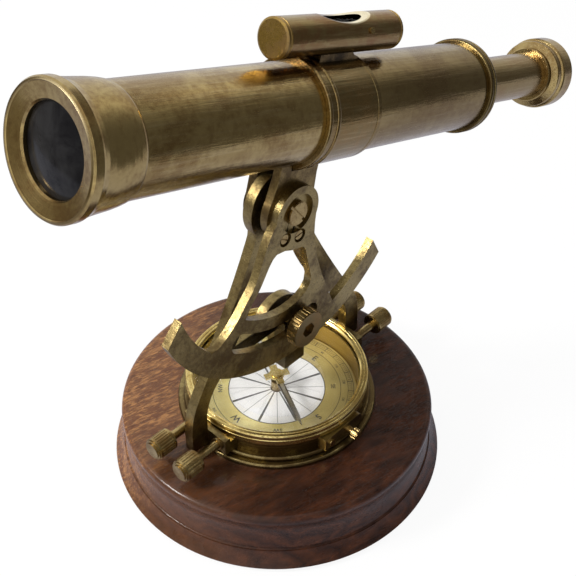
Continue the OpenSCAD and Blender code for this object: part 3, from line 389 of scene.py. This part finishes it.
def telescope_place(finish, place, lift=AXIS_LIFT):
    """Length along the tube, then side and rise from its axis, or from an axis at another lift."""
    from_pivot = finish.vector("SUBTRACT", place, (0, 0, PIVOT_Z))
    along = finish.dot(from_pivot, ALONG)
    side = finish.dot(from_pivot, (0, 1, 0))
    rise = finish.dot(from_pivot, LIFT) - lift
    return along, side, rise


def brass_tone(finish, place, tones, patch=0.045, wear=0.5):
    """Patches of brown tarnish, cloudy at two sizes, over a clean tone.

    The mask is seven parts of a coarse noise and three of a finer one, through a smooth step.
    """
    clean, brown = tones
    clouds = finish.noise(place, patch, 4.0, 0.6, 0.4)
    specks = finish.noise(place, patch * 9, 3.0, 0.65)
    mask = (clouds * 0.7 + specks * 0.3).above(wear, 0.22)
    return finish.mix(mask, clean, brown), mask


def tube_brass(name, blackened=0.0, tones=(BRASS, BRASS_BROWN), rear_dark=0.0):
    """Drawn and polished tube: streaks run along it, and its bore may be painted black.

    Blackened is the radius within which the paint lies, and rear_dark is how much darker
    the part behind the pivot is than the front.
    """
    finish = Finish(name)
    place = finish.place()
    along, side, rise = telescope_place(finish, place)
    streaky = finish.join(along * 0.045, side * 0.9, rise * 0.9)
    streaks = finish.noise(streaky, 1.0, 5.0, 0.62, 0.15)
    wide = finish.noise(finish.join(along * 0.02, side * 0.16, rise * 0.16), 1.0, 3.0, 0.55, 0.3)
    colour, mask = brass_tone(finish, place, tones)
    colour = finish.mix(streaks.above(0.6, 0.3) * 0.35, colour, BRASS_PALE)
    colour = finish.mix(wide.above(0.62, 0.2) * 0.3, colour, BRASS_BROWN)
    if rear_dark:
        behind = along.above((REAR_FROM + REAR_TO) / 2, REAR_TO - REAR_FROM)
        colour = finish.mix(behind * rear_dark, colour, CAST_BROWN)
    scratches = finish.noise(finish.join(along * 0.35, side * 6, rise * 6), 1.0, 2.0, 0.5)
    rough = streaks.spread(0.1, 0.2) + mask * 0.06 + scratches.above(0.66, 0.06) * 0.08
    metal = 1.0
    if blackened:
        inside = ((side * side + rise * rise) ** 0.5).below(blackened, 0.1)
        colour = finish.mix(inside, colour, BLACK_PAINT)
        rough = rough + inside * 0.6
        metal = 1 - inside
    relief = finish.bump(streaks * 0.6 + wide * 0.9, 0.16)
    return finish.surface(Base_Color=colour, Metallic=metal, Roughness=rough, Normals=relief)


def object_end(name):
    """Turned cell of the object end: its flat face has painted shade below and a painted highlight
    above.
    """
    finish = Finish(name)
    place = finish.place()
    along, side, rise = telescope_place(finish, place)
    radius = (side * side + rise * rise) ** 0.5
    colour, mask = brass_tone(finish, place, (BRASS, BRASS_BROWN), 0.06)
    turned = finish.noise(finish.join(radius * 1.6, along * 0.5, 0.0), 1.0, 3.0, 0.6)
    face = along.below(CELL_FRONT_S + 0.2, 0.4)
    cloud = finish.noise(place, 0.07, 3.0, 0.6)
    # painted highlight on the upper part of the flat face, with painted shade below it
    upper = (rise - side * 0.45 + cloud * 18 - 9).above(11, 14)
    shaded_face = finish.mix(turned.above(0.5, 0.3) * 0.5, FACE_SHADE, BRASS_BROWN)
    face_shade_and_highlight = finish.mix(upper, shaded_face, BRASS_PALE)
    colour = finish.mix(face * 0.9, colour, face_shade_and_highlight)
    rough = turned.spread(0.12, 0.26) + mask * 0.05
    return finish.surface(Base_Color=colour, Metallic=1.0, Roughness=rough,
                          Normals=finish.bump(turned, 0.04))


def turned_brass(name, tones=(BRASS, BRASS_BROWN), smooth=0.16):
    """Turned or knurled brass: cloudy tarnish, fine specks of dirt and a soft unevenness."""
    finish = Finish(name)
    place = finish.place()
    colour, mask = brass_tone(finish, place, tones, 0.12)
    fine = finish.noise(place, 1.6, 4.0, 0.6)
    colour = finish.mix(fine.above(0.64, 0.08) * 0.55, colour, GRIME_AND_SHADE)
    rough = fine.spread(smooth, smooth + 0.16) + mask * 0.08
    relief = finish.bump(finish.noise(place, 0.5, 3.0, 0.5) + fine * 0.2, 0.05)
    return finish.surface(Base_Color=colour, Metallic=1.0, Roughness=rough, Normals=relief)


def cast_brass(name, painted_shade_behind_sector=False):
    """Filed casting: darker brass with file strokes and pits.

    On the frame, painted shade darkens the front face behind the sector.
    """
    finish = Finish(name)
    place = finish.place()
    colour, mask = brass_tone(finish, place, (CAST_BRASS, CAST_BROWN), 0.07, 0.52)
    file_marks = finish.noise(finish.vector("MULTIPLY", place, (0.5, 0.5, 3.0)), 1.0, 4.0, 0.6)
    pits = finish.noise(place, 1.4, 2.0, 0.5).above(0.68, 0.06)
    colour = finish.mix(pits * 0.7, colour, GRIME_AND_SHADE)
    if painted_shade_behind_sector:
        # painted shade: the frame's front face behind the sector is darkened towards near black
        front = finish.dot(place, (0, 1, 0)).below(FRAME_FRONT_Y + 0.4, 0.4)
        across = finish.dot(place, (1, 0, 0)).between(*SHADE_X, 8)
        behind = front * height(finish, place).between(*SHADE_Z, 16) * across
        colour = finish.mix(behind * 0.85, colour, GRIME_AND_SHADE)
    rough = file_marks.spread(0.2, 0.38) + mask * 0.05
    relief = finish.bump(file_marks * 0.5 - pits * 0.5 + finish.noise(place, 0.2, 2.0), 0.14)
    return finish.surface(Base_Color=colour, Metallic=1.0, Roughness=rough, Normals=relief)


def bowl_brass(name):
    """Compass bowl: dark outside with turned lines, bright inside the wall."""
    finish = Finish(name)
    place = finish.place()
    radius, _ = polar(finish, place)
    rise = height(finish, place)
    dark, mask = brass_tone(finish, place, (CAST_BRASS, CAST_BROWN), 0.09, 0.45)
    inside = radius.below(BOWL_BORE_R + 0.6, 0.3)
    lines = finish.noise(finish.join(radius * 0.15, 0.0, rise * 2.6), 1.0, 3.0, 0.6)
    colour = finish.mix(lines.above(0.6, 0.15) * 0.4, dark, BRASS)
    colour = finish.mix(inside, colour, BOWL_GOLD)
    rough = lines.spread(0.16, 0.32) + mask * 0.06 + inside * 0.12
    relief = finish.bump(lines, 0.05)
    return finish.surface(Base_Color=colour, Metallic=1.0, Roughness=rough, Normals=relief)


def gilt_brass(name):
    """Bright turned brass with rings of wear."""
    finish = Finish(name)
    place = finish.place()
    radius, _ = polar(finish, place)
    colour, mask = brass_tone(finish, place, (GILT, GILT_DEEP), 0.1, 0.5)
    rings = finish.noise(finish.join(radius * 2.2, 0.0, height(finish, place) * 2.2), 1.0, 2.0)
    specks = finish.noise(place, 1.8, 3.0, 0.6).above(0.66, 0.06)
    colour = finish.mix(specks * 0.6, colour, GRIME_AND_SHADE)
    rough = rings.spread(0.12, 0.26) + mask * 0.08
    return finish.surface(Base_Color=colour, Metallic=1.0, Roughness=rough,
                          Normals=finish.bump(rings, 0.03))


def level_brass(name):
    """The level's tube, with a lip round its window that is bare brass with a painted highlight on its
    edge.
    """
    finish = Finish(name)
    place = finish.place()
    along, side, rise = telescope_place(finish, place, LEVEL_LIFT)
    colour, mask = brass_tone(finish, place, (BRASS_DULL, LEVEL_BROWN), 0.07)
    streaks = finish.noise(finish.join(along * 0.1, side * 1.4, rise * 1.4), 1.0, 4.0, 0.6)
    run = along - WINDOW_S
    drop = rise - WINDOW_ARC_W
    from_arc = abs((run * run + drop * drop) ** 0.5 - WINDOW_ARC_R)
    lip = from_arc.below(WINDOW_LIP, 0.3) * rise.above(0.0, 1.0) * along.above(WINDOW_S, 8)
    colour = finish.mix(streaks.above(0.6, 0.25) * 0.3, colour, BRASS_PALE)
    # the window's lip is partly bare brass and partly a painted highlight along its edge
    colour = finish.mix(lip, colour, LIP_BARE_AND_HIGHLIGHT)
    rough = streaks.spread(0.12, 0.24) + mask * 0.06
    return finish.surface(Base_Color=colour, Metallic=1.0, Roughness=rough,
                          Normals=finish.bump(streaks, 0.06))


def rosewood(name):
    """Polished rosewood: a dark brown heart, and a lighter part to the left and back, partly figure
    and partly painted light.

    The grain runs along a level line. Bands are the fraction of a distance from the heart
    line, bent by noise; fibres, pores and flecks are noise drawn out along the grain. The
    lighter part is where the distances to the left and to the back, bent by noise, pass an edge.
    """
    finish = Finish(name)
    place = finish.place()
    along = finish.dot(place, (math.cos(GRAIN_TURN), math.sin(GRAIN_TURN), 0.0))
    across = finish.dot(place, (-math.sin(GRAIN_TURN), math.cos(GRAIN_TURN), 0.0))
    rise = height(finish, place)
    bend = finish.noise(finish.join(along * 0.02, across * 0.05, rise * 0.05), 1.0, 3.0, 0.55)
    curl = finish.noise(finish.join(along * 0.1, across * 0.2, rise * 0.2), 1.0, 2.0, 0.5)
    depth = rise * 0.9 + HEART_DEPTH
    from_heart = (across * across * 0.35 + depth * depth) ** 0.5
    ring = (from_heart + bend * 30 + curl * 4.0) / RING_STEP
    band = abs(ring % 1.0 - 0.5) * 2
    fibre = finish.noise(finish.join(along * 0.2, across * 2.6, rise * 2.6), 1.0, 4.0, 0.65)
    pores = finish.noise(finish.join(along * 0.35, across * 5.2, rise * 5.2), 1.0, 2.0, 0.5)
    figure = finish.noise(finish.join(along * 0.09, across * 0.5, rise * 0.5), 1.0, 3.0, 0.6, 0.8)
    flecks = finish.noise(finish.join(along * 0.22, across * 0.85, rise * 0.85), 1.0, 3.0, 0.6, 0.5)
    sideways = finish.dot(place, TO_LEFT) + bend * 34 - 17
    away = finish.dot(place, TO_BACK) + curl * 16 - 8
    # the lighter part is partly the wood's figure and partly painted light from the left
    figure_and_painted_light = sideways.above(PALE_AND_LIT_WOOD_LEFT, 34) * away.above(PALE_AND_LIT_WOOD_BACK, 40)
    tone = band * 0.3 + fibre * 0.42 + figure * 0.42 - 0.1
    dark = finish.ramp(tone, [(0.22, ROSEWOOD_DARK), (0.58, ROSEWOOD), (0.92, ROSEWOOD_RED)])
    gold = finish.ramp(tone * 0.7 + flecks * 0.42, [
        (0.34, ROSEWOOD_RED), (0.52, ROSEWOOD_BROWN), (0.74, ROSEWOOD_GOLD)])
    colour = finish.mix(figure_and_painted_light * 0.9, dark, gold)
    # painted light: the wood turns a lighter brown towards the left
    colour = finish.mix(sideways.above(25, 60) * 0.35, colour, ROSEWOOD_BROWN)
    colour = finish.mix(flecks.above(0.56, 0.14) * figure_and_painted_light * 0.5, colour, ROSEWOOD_GOLD)
    colour = finish.mix(pores.above(0.6, 0.1) * 0.6, colour, PORE)
    worn = finish.noise(place, 0.05, 3.0, 0.6)
    rough = fibre.spread(0.2, 0.32) + worn.above(0.55, 0.2) * 0.08
    relief = finish.bump(fibre * 0.4 - pores.above(0.6, 0.1) * 0.6 + worn * 0.6, 0.07)
    polish = sideways.above(16, 50).spread(0.05, 0.28) * worn.spread(0.6, 1.2)
    return finish.surface(Base_Color=colour, Roughness=rough, IOR=1.33, Normals=relief,
                          Coat_Weight=polish, Coat_Roughness=0.1)


def dial_print(name):
    """The printed card: a white disc with rays, and gold rings with ticks, with a painted dark
    reflection to the right.

    A ray or tick is where the angle, folded into one step, times the radius is less than half
    the line's width. A ring line is where the radius is that near to its own.
    """
    finish = Finish(name)
    place = finish.place()
    radius, angle = polar(finish, place)

    def spokes(step, offset, width, low, high):
        folded = abs((angle + (step / 2 - offset)) % step - step / 2)
        off = folded * (math.pi / 180) * radius
        return off.below(width / 2, 0.12) * radius.between(low, high, 0.15)

    def ring(at, width):
        return abs(radius - at).below(width / 2, 0.1)

    cloud = finish.noise(place, 0.12, 4.0, 0.6, 0.3)
    fine = finish.noise(place, 1.4, 3.0, 0.6)
    disc = finish.mix(cloud.above(0.5, 0.3) * 0.14, DISC_WHITE, DISC_GREY)
    gold = finish.mix(cloud.above(0.45, 0.3) * 0.45, DIAL_GOLD, DIAL_DEEP)
    gold = finish.mix(fine.above(0.62, 0.1) * 0.35, gold, DIAL_DEEP)
    # painted reflection: the gold ring is darkened towards the right
    painted_dark_reflection = finish.dot(place, TO_RIGHT).above(6, 30)
    gold = finish.mix(painted_dark_reflection * 0.7, gold, DIAL_REFLECTION_DARK)
    colour = finish.mix(radius.above(DISC_R, 0.1), disc, gold)
    thin_rays = spokes(POINT_STEP, 0, 0.34, RAY_FROM, DISC_R - 0.6)
    colour = finish.mix(thin_rays * 0.6, colour, INK)
    widening = radius * 0.035 + 0.42
    black = spokes(POINT_STEP, POINT_STEP / 2, widening, RAY_FROM, DISC_R - 0.3)
    for mark in (
        ring(DISC_R, 0.42), ring(LETTER_RING_R, 0.24), ring(TICK_IN_R, 0.2),
        ring(TICK_OUT_R, 0.3), ring(TICK_OUT_R - 0.75, 0.12),
        spokes(2, 0, 0.22, TICK_IN_R + 0.5, TICK_OUT_R - 0.7),
        spokes(10, 0, 0.42, TICK_IN_R, TICK_OUT_R),
    ):
        black = black.math("MAXIMUM", mark)
    colour = finish.mix(black * 0.98, colour, INK)
    rough = cloud.spread(0.42, 0.55)
    metal = radius.above(DISC_R, 0.2) * 0.25
    relief = finish.bump(fine * 0.3 + (1 - black) * 0.3, 0.04)
    return finish.surface(Base_Color=colour, Roughness=rough, Metallic=metal, Normals=relief)


def ink(name):
    """Printed letters: thin black ink, a little worn."""
    finish = Finish(name)
    worn = finish.noise(finish.place(), 1.2, 3.0, 0.6)
    colour = finish.mix(worn.above(0.62, 0.15) * 0.5, INK, DIAL_DEEP)
    return finish.surface(Base_Color=colour, Roughness=worn.spread(0.4, 0.6))


def pale_topped_needle(name):
    """Needle with a pale brushed top and dark edges."""
    finish = Finish(name)
    place = finish.place()
    brush = finish.noise(finish.vector("MULTIPLY", place, (1.2, 0.5, 1.0)), 2.0, 3.0, 0.6)
    turn = math.radians(NEEDLE_DIR)
    across = abs(finish.dot(place, (-math.sin(turn), math.cos(turn), 0.0)))
    top = height(finish, place).above(NEEDLE_TOP_Z - 0.2, 0.1) * across.below(0.8, 0.2)
    colour = finish.mix(top, NEEDLE_DARK, NEEDLE_PALE)
    colour = finish.mix(brush.above(0.6, 0.2) * 0.3, colour, NEEDLE_DUST)
    return finish.surface(Base_Color=colour, Metallic=1.0, Roughness=brush.spread(0.2, 0.4))


def clear_glass(name, tint=CLEAR, body=1.0):
    """Clear glass with faint smears. With little body, most light goes straight through it."""
    finish = Finish(name)
    smear = finish.noise(finish.place(), 0.08, 4.0, 0.6, 0.5)
    rough = smear.above(0.55, 0.3) * 0.03
    return finish.surface(Base_Color=tint, Roughness=rough, Transmission_Weight=1.0, IOR=1.45,
                          Alpha=smear.above(0.5, 0.4).spread(body, body * 1.3))


def object_glass(name):
    """Coated lens that looks nearly black over the blackened tube."""
    finish = Finish(name)
    haze = finish.noise(finish.place(), 0.09, 4.0, 0.6, 0.6)
    colour = finish.mix(haze.above(0.5, 0.4), LENS_BLACK, LENS_HAZE)
    return finish.surface(Base_Color=colour, Roughness=haze.spread(0.05, 0.16), IOR=1.2)


def felt(name):
    """Green felt: matted fibres."""
    finish = Finish(name)
    place = finish.place()
    fibres = finish.noise(place, 2.4, 5.0, 0.75, 1.5)
    colour = finish.mix(fibres, FELT_DARK, FELT_GREEN)
    return finish.surface(Base_Color=colour, Roughness=0.95, Sheen_Weight=0.3,
                          Normals=finish.bump(fibres, 0.4))


def dress(names, material):
    """Gives CAD nodes one finish, in their own material slots."""
    for name in names:
        slots = nodes[name].data.materials
        slots.clear()
        slots.append(material)


def softened(name, width, body):
    """A copy of a CAD node whose hard edges are rounded, standing for that node.

    The copy's loose triangles are merged and flat ones joined into whole faces, and a bevel of
    the given width runs along its sharp edges.
    """
    source = nodes[name]
    mesh = source.data.copy()
    work = bmesh.new()
    work.from_mesh(mesh)
    bmesh.ops.remove_doubles(work, verts=work.verts, dist=MERGE_WITHIN * MM)
    flat_turn = math.radians(0.5)
    bmesh.ops.dissolve_limit(work, angle_limit=flat_turn, verts=work.verts, edges=work.edges)
    bmesh.ops.recalc_face_normals(work, faces=work.faces)
    work.to_mesh(mesh)
    work.free()
    piece = bpy.data.objects.new(name + "_finished", mesh)
    bpy.context.scene.collection.objects.link(piece)
    bevel = piece.modifiers.new("edges", "BEVEL")
    bevel.width = width * MM
    bevel.segments = 3
    bevel.limit_method = "ANGLE"
    bevel.angle_limit = SHARP_TURN
    for face in mesh.polygons:
        face.use_smooth = True
    mesh.set_sharp_from_angle(angle=SHARP_TURN)
    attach(piece, body)
    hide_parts(name)


def grid_mesh(name, points, closed=False):
    """A mesh over an array of points in rows and columns, each four neighbours making a face.

    Where it is closed, the last column joins the first.
    """
    rows, columns = points.shape[:2]
    mesh = bpy.data.meshes.new(name)
    u = np.arange(rows - 1)
    v = np.arange(columns if closed else columns - 1)
    u, v = (a.ravel() for a in np.meshgrid(u, v, indexing="ij"))
    u1 = u + 1
    v1 = (v + 1) % columns
    faces = np.stack([u * columns + v, u1 * columns + v, u1 * columns + v1, u * columns + v1], 1)
    mesh.from_pydata(points.reshape(-1, 3).tolist(), [], faces.tolist())
    piece = bpy.data.objects.new(name, mesh)
    bpy.context.scene.collection.objects.link(piece)
    return piece


def slim_needle(finish):
    """The needle: a slender bar that narrows towards its ends and comes to two points.

    Half its width falls evenly from the middle to five sixths of its length, and from there
    evenly to nothing. Its section is a bar whose upper edges are chamfered.
    """
    turn = math.radians(NEEDLE_DIR)
    along = np.array([math.cos(turn), math.sin(turn), 0.0])
    across = np.array([-math.sin(turn), math.cos(turn), 0.0])
    point = np.linspace(POINT_FROM, 1, 5)
    share = np.concatenate([-point[::-1], np.linspace(-0.8, 0.8, 21), point])
    blade = NEEDLE_HALF - NEEDLE_TAPER * np.abs(share)
    half = np.minimum(blade, (1 - np.abs(share)) * POINT_TAPER) + POINT_HALF
    section = [(-1, 0), (1, 0), (1, 0.6), (0.72, 1), (-0.72, 1), (-1, 0.6)]
    points = np.zeros((len(share), len(section), 3))
    for k, (out, up) in enumerate(section):
        points[:, k] = share[:, None] * NEEDLE_LEN * along + (out * half)[:, None] * across
        points[:, k, 2] = NEEDLE_Z + (NEEDLE_TOP_Z - NEEDLE_Z) * up
    piece = grid_mesh("needle_finished", points * MM, closed=True)
    work = bmesh.new()
    work.from_mesh(piece.data)
    bmesh.ops.holes_fill(work, edges=work.edges, sides=0)
    bmesh.ops.recalc_face_normals(work, faces=work.faces)
    work.to_mesh(piece.data)
    work.free()
    piece.data.materials.append(finish)
    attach(piece, "needle")
    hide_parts("compass_needle")


def dial_lettering():
    """Compass letters and degree numbers, each read from outside the dial, as one thin print."""
    main = [("N", 90), ("E", 0), ("S", 270), ("W", 180)]
    small = [("NE", 45), ("SE", 315), ("SW", 225), ("NW", 135)]
    prints = [(text, at, LETTER_R, MAIN_LETTER) for text, at in main]
    prints += [(text, at, LETTER_R, SMALL_LETTER) for text, at in small]
    prints += [(str((90 - at) % 360), at, DIGIT_R, DIGIT_SIZE) for at in range(0, 360, 20)]
    letters = []
    for text, at, radius, size in prints:
        curve = bpy.data.curves.new("print", "FONT")
        curve.body = text
        curve.size = size * MM
        curve.align_x = "CENTER"
        curve.align_y = "CENTER"
        curve.offset = 0.02 * size * MM
        curve.extrude = 0.01 * MM
        curve.resolution_u = 3
        letter = bpy.data.objects.new("print", curve)
        bpy.context.scene.collection.objects.link(letter)
        bpy.context.view_layer.update()
        worked_out = letter.evaluated_get(bpy.context.evaluated_depsgraph_get())
        mesh = bpy.data.meshes.new_from_object(worked_out)
        turn = Matrix.Rotation(math.radians(at - 90), 4, "Z")
        way = math.radians(at)
        spot = Vector((radius * math.cos(way), radius * math.sin(way), CARD_TOP + PRINT_LIFT)) * MM
        mesh.transform(Matrix.Translation(spot) @ turn)
        letters.append(mesh)
        bpy.data.objects.remove(letter)
    work = bmesh.new()
    for mesh in letters:
        work.from_mesh(mesh)
    joined = bpy.data.meshes.new("dial_lettering")
    work.to_mesh(joined)
    work.free()
    piece = bpy.data.objects.new("dial_lettering", joined)
    bpy.context.scene.collection.objects.link(piece)
    joined.materials.append(ink("dial ink"))
    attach(piece, "base")


def finish_nodes():
    """Gives every CAD node its finish."""
    dress(["wooden_base"], rosewood("polished rosewood"))
    dress(["felt_pad"], felt("green felt"))
    dress(["main_tube"], tube_brass("drawn tube", blackened=TUBE_BORE_R + PAINT_PAST, rear_dark=0.55))
    dress(["objective_cell"], object_end("object end"))
    # painted shade: the collar's darker tone stands for the shade under the level
    dress(["collar"], tube_brass("turned collar", tones=(DULL_BRASS_AND_SHADE, BRASS_BROWN)))
    dress(["guide_ring"], turned_brass("guide ring", (FITTING_DULL, CAST_BROWN)))
    dress(["draw_tube"],
          tube_brass("draw tube", blackened=DRAW_BORE_R + PAINT_PAST, tones=(BRASS_DULL, BRASS_BROWN)))
    dress(["eyepiece_cup"], tube_brass("eyepiece"))
    dress(["level_tube"], level_brass("level tube"))
    dress(["level_cap_front", "level_cap_rear"],
          turned_brass("level caps", (CAP_GOLD, BRASS_BROWN)))
    dress(["objective_retainer", "guide_bush", "draw_stop", "eye_retainer", "field_cell"],
          turned_brass("inner fittings", (FITTING_DULL, CAST_BROWN)))
    # painted shade: the level post is coloured near black for the shade under the level; the clamp
    # washer shares this finish
    dress(["level_post", "clamp_washer"], turned_brass("shaded dark fittings", (CAST_BROWN, GRIME_AND_SHADE)))
    dress(["base_screws", "lock_plate_screw", "needle_lock_screw", "sector_screws", "pivot_screw",
           "pivot_nut", "vial_screw", "needle_lifter", "lifter_pin",
           "foot_screw_left_far", "foot_screw_left_near", "foot_screw_right_far",
           "foot_screw_right_near"], turned_brass("turned screws"))
    dress(["clamp_knob"], turned_brass("clamp knob", (DULL_BRASS_AND_SHADE, BRASS_BROWN), 0.22))
    dress(["compass_bowl"], bowl_brass("compass bowl"))
    dress(["bezel_ring", "needle_pin", "needle_cap"], gilt_brass("gilt brass"))
    dress(["compass_card"], dial_print("printed dial"))
    needle = pale_topped_needle("needle")
    dress(["compass_needle"], needle)
    slim_needle(needle)
    dress(["eye_lens", "field_lens"], clear_glass("clear glass"))
    dress(["cover_glass", "level_vial"], clear_glass("thin pane", body=0.07))
    dress(["level_spirit"], clear_glass("spirit", SPIRIT_GREEN, body=0.4))
    dress(["objective_lens"], object_glass("object glass"))
    castings = cast_brass("filed casting")
    frame_casting = cast_brass("frame casting", painted_shade_behind_sector=True)
    fork = turned_brass("fork brass", (BRASS_DULL, CAST_BROWN), 0.24)
    # painted shade: the far cheek is a darker copy of the near cheek's brass
    far_fork_shaded = turned_brass("shaded far fork brass", (CAST_BROWN, GRIME_AND_SHADE), 0.3)
    for name, width, body, slot, material in (
        ("frame", 0.5, "base", "dark_brass", frame_casting),
        ("sector", 0.4, "telescope", "dark_brass", castings),
        ("near_cheek", 0.4, "telescope", "aged_brass", fork),
        ("far_cheek", 0.4, "telescope", "aged_brass", far_fork_shaded),
        ("lock_plate", 0.3, "base", "dark_brass", castings),
        ("lug_left", 0.3, "base", "dark_brass", castings),
        ("lug_right", 0.3, "base", "dark_brass", castings),
    ):
        dress([name], material)
        softened(name, width, body)


def floor_finish(name):
    """Floor: a pale colour, with parts of plain white to what the camera and metal see."""
    finish = Finish(name)
    camera, mirror, through = finish.rays()
    seen = (mirror * FLOOR_METAL_WHITE).math("MAXIMUM", camera * FLOOR_CAMERA_WHITE)
    seen = seen.math("MAXIMUM", through * FLOOR_CAMERA_WHITE)
    lit = finish.node("ShaderNodeBsdfDiffuse", {}, {"Color": FLOOR_PALE})
    white = finish.node("ShaderNodeEmission", {}, {"Color": WHITE, "Strength": 1.0})
    return finish.close(finish.node("ShaderNodeMixShader", {}, {0: seen, 1: lit, 2: white}))


def wall_finish(name):
    """The dark wall that the brass mirrors: it grows paler to its far end and over its top."""
    finish = Finish(name)
    place = finish.place()
    along = finish.dot(place, (0, 1, 0))
    rise = height(finish, place)
    return finish.light(WALL_WARM, along.above(-80, 420) * 0.62 + rise.above(620, 700) * 0.3 + 0.15)


def level_mesh(name, x_ends, y_ends, z):
    """A level rectangle of one face."""
    x, y = np.meshgrid(x_ends, y_ends, indexing="ij")
    return grid_mesh(name, np.stack([x, y, np.full_like(x, z)], -1) * MM)


def seen_by_metal(card, material):
    """Puts a card on the stage that shows only in reflections."""
    card.data.materials.append(material)
    card.visible_camera = False
    card.visible_diffuse = False
    card.visible_transmission = False
    card.visible_shadow = False


def lay_floor():
    """The floor, just under the base."""
    ends = (-FLOOR_REACH, FLOOR_REACH)
    floor = level_mesh("floor", ends, ends, FLOOR_Z)
    floor.data.materials.append(floor_finish("pale floor"))


def raise_wall():
    """The dark wall: straight along the near side, then a quarter turn to the right side."""
    turn = np.radians(np.linspace(0, 90, 13))
    x, y = WALL_TURN_AT
    bend = np.stack([x + WALL_TURN_R * np.sin(turn), y - WALL_TURN_R * np.cos(turn)], 1)
    plan = np.concatenate([WALL_NEAR, bend, WALL_END])
    rise = np.linspace(0, WALL_TOP, 6)
    points = np.zeros((len(plan), len(rise), 3))
    points[..., :2] = plan[:, None, :]
    points[..., 2] = rise[None, :]
    seen_by_metal(grid_mesh("dark_wall", points * MM), wall_finish("dark wall"))


def hang_cards():
    """The even cards that the metal mirrors, each for something round the photographed object."""
    # the grey table top, for undersides and upright sides
    table = level_mesh("table_card", TABLE_X, TABLE_Y, TABLE_Z)
    seen_by_metal(table, Finish("table card").light(TABLE_GREY, 1.0))

    # the dark ceiling, for level faces and the compass glass, ending over the left side
    ceiling = level_mesh("ceiling_card", CEILING_X, CEILING_Y, CEILING_Z)
    seen_by_metal(ceiling, Finish("ceiling card").light(CEILING_DARK, 1.0))

    # a low dark round card behind the object end
    low, way = np.meshgrid([0.0, SKIRTING_TOP], np.radians(np.linspace(*SKIRTING_ARC, 11)))
    points = np.stack([SKIRTING_R * np.cos(way), SKIRTING_R * np.sin(way), low], -1)
    skirting = grid_mesh("dark_card", points * MM)
    seen_by_metal(skirting, Finish("dark card").light(SKIRTING_BROWN, 1.0))


def build_sky():
    """A white world, dimmer as a light than as what the eye, metal and glass see."""
    sky = Sky("studio")
    camera, mirror, through = sky.rays()
    seen = camera.math("MAXIMUM", mirror).math("MAXIMUM", through)
    strength = seen * (1.0 - AMBIENT) + AMBIENT
    sockets = {"Color": WHITE, "Strength": strength}
    bpy.context.scene.world = sky.close(sky.node("ShaderNodeBackground", {}, sockets))


def hang_lamps():
    """Square lamps that all face the middle of the object."""
    for name, at, size, power, colour in LAMPS:
        lamp = bpy.data.lights.new(name, "AREA")
        lamp.size = size * MM
        lamp.energy = power
        lamp.color = colour
        holder = bpy.data.objects.new(name, lamp)
        bpy.context.scene.collection.objects.link(holder)
        holder.location = Vector(at) * MM
        facing = (Vector(LAMP_AIM) - Vector(at)).to_track_quat("-Z", "Y")
        holder.rotation_euler = facing.to_euler()


def place_camera():
    """The camera at the photograph's place: turned to its azimuth and elevation, then rolled."""
    camera = bpy.data.cameras.new("camera")
    camera.lens = CAMERA_LENS
    camera.sensor_width = CAMERA_SENSOR
    camera.clip_start = 0.01
    camera.clip_end = 20.0
    holder = bpy.data.objects.new("camera", camera)
    bpy.context.scene.collection.objects.link(holder)
    azimuth = Matrix.Rotation(math.radians(CAMERA_AZIMUTH), 4, "Z")
    elevation = Matrix.Rotation(math.radians(90 - CAMERA_ELEVATION), 4, "X")
    roll = Matrix.Rotation(math.radians(CAMERA_ROLL), 4, "Z")
    holder.matrix_world = Matrix.Translation(Vector(CAMERA_AT) * MM) @ azimuth @ elevation @ roll
    bpy.context.scene.camera = holder


finish_nodes()
dial_lettering()
lay_floor()
raise_wall()
hang_cards()
build_sky()
hang_lamps()
place_camera()

view = bpy.context.scene.view_settings
view.view_transform = "Standard"
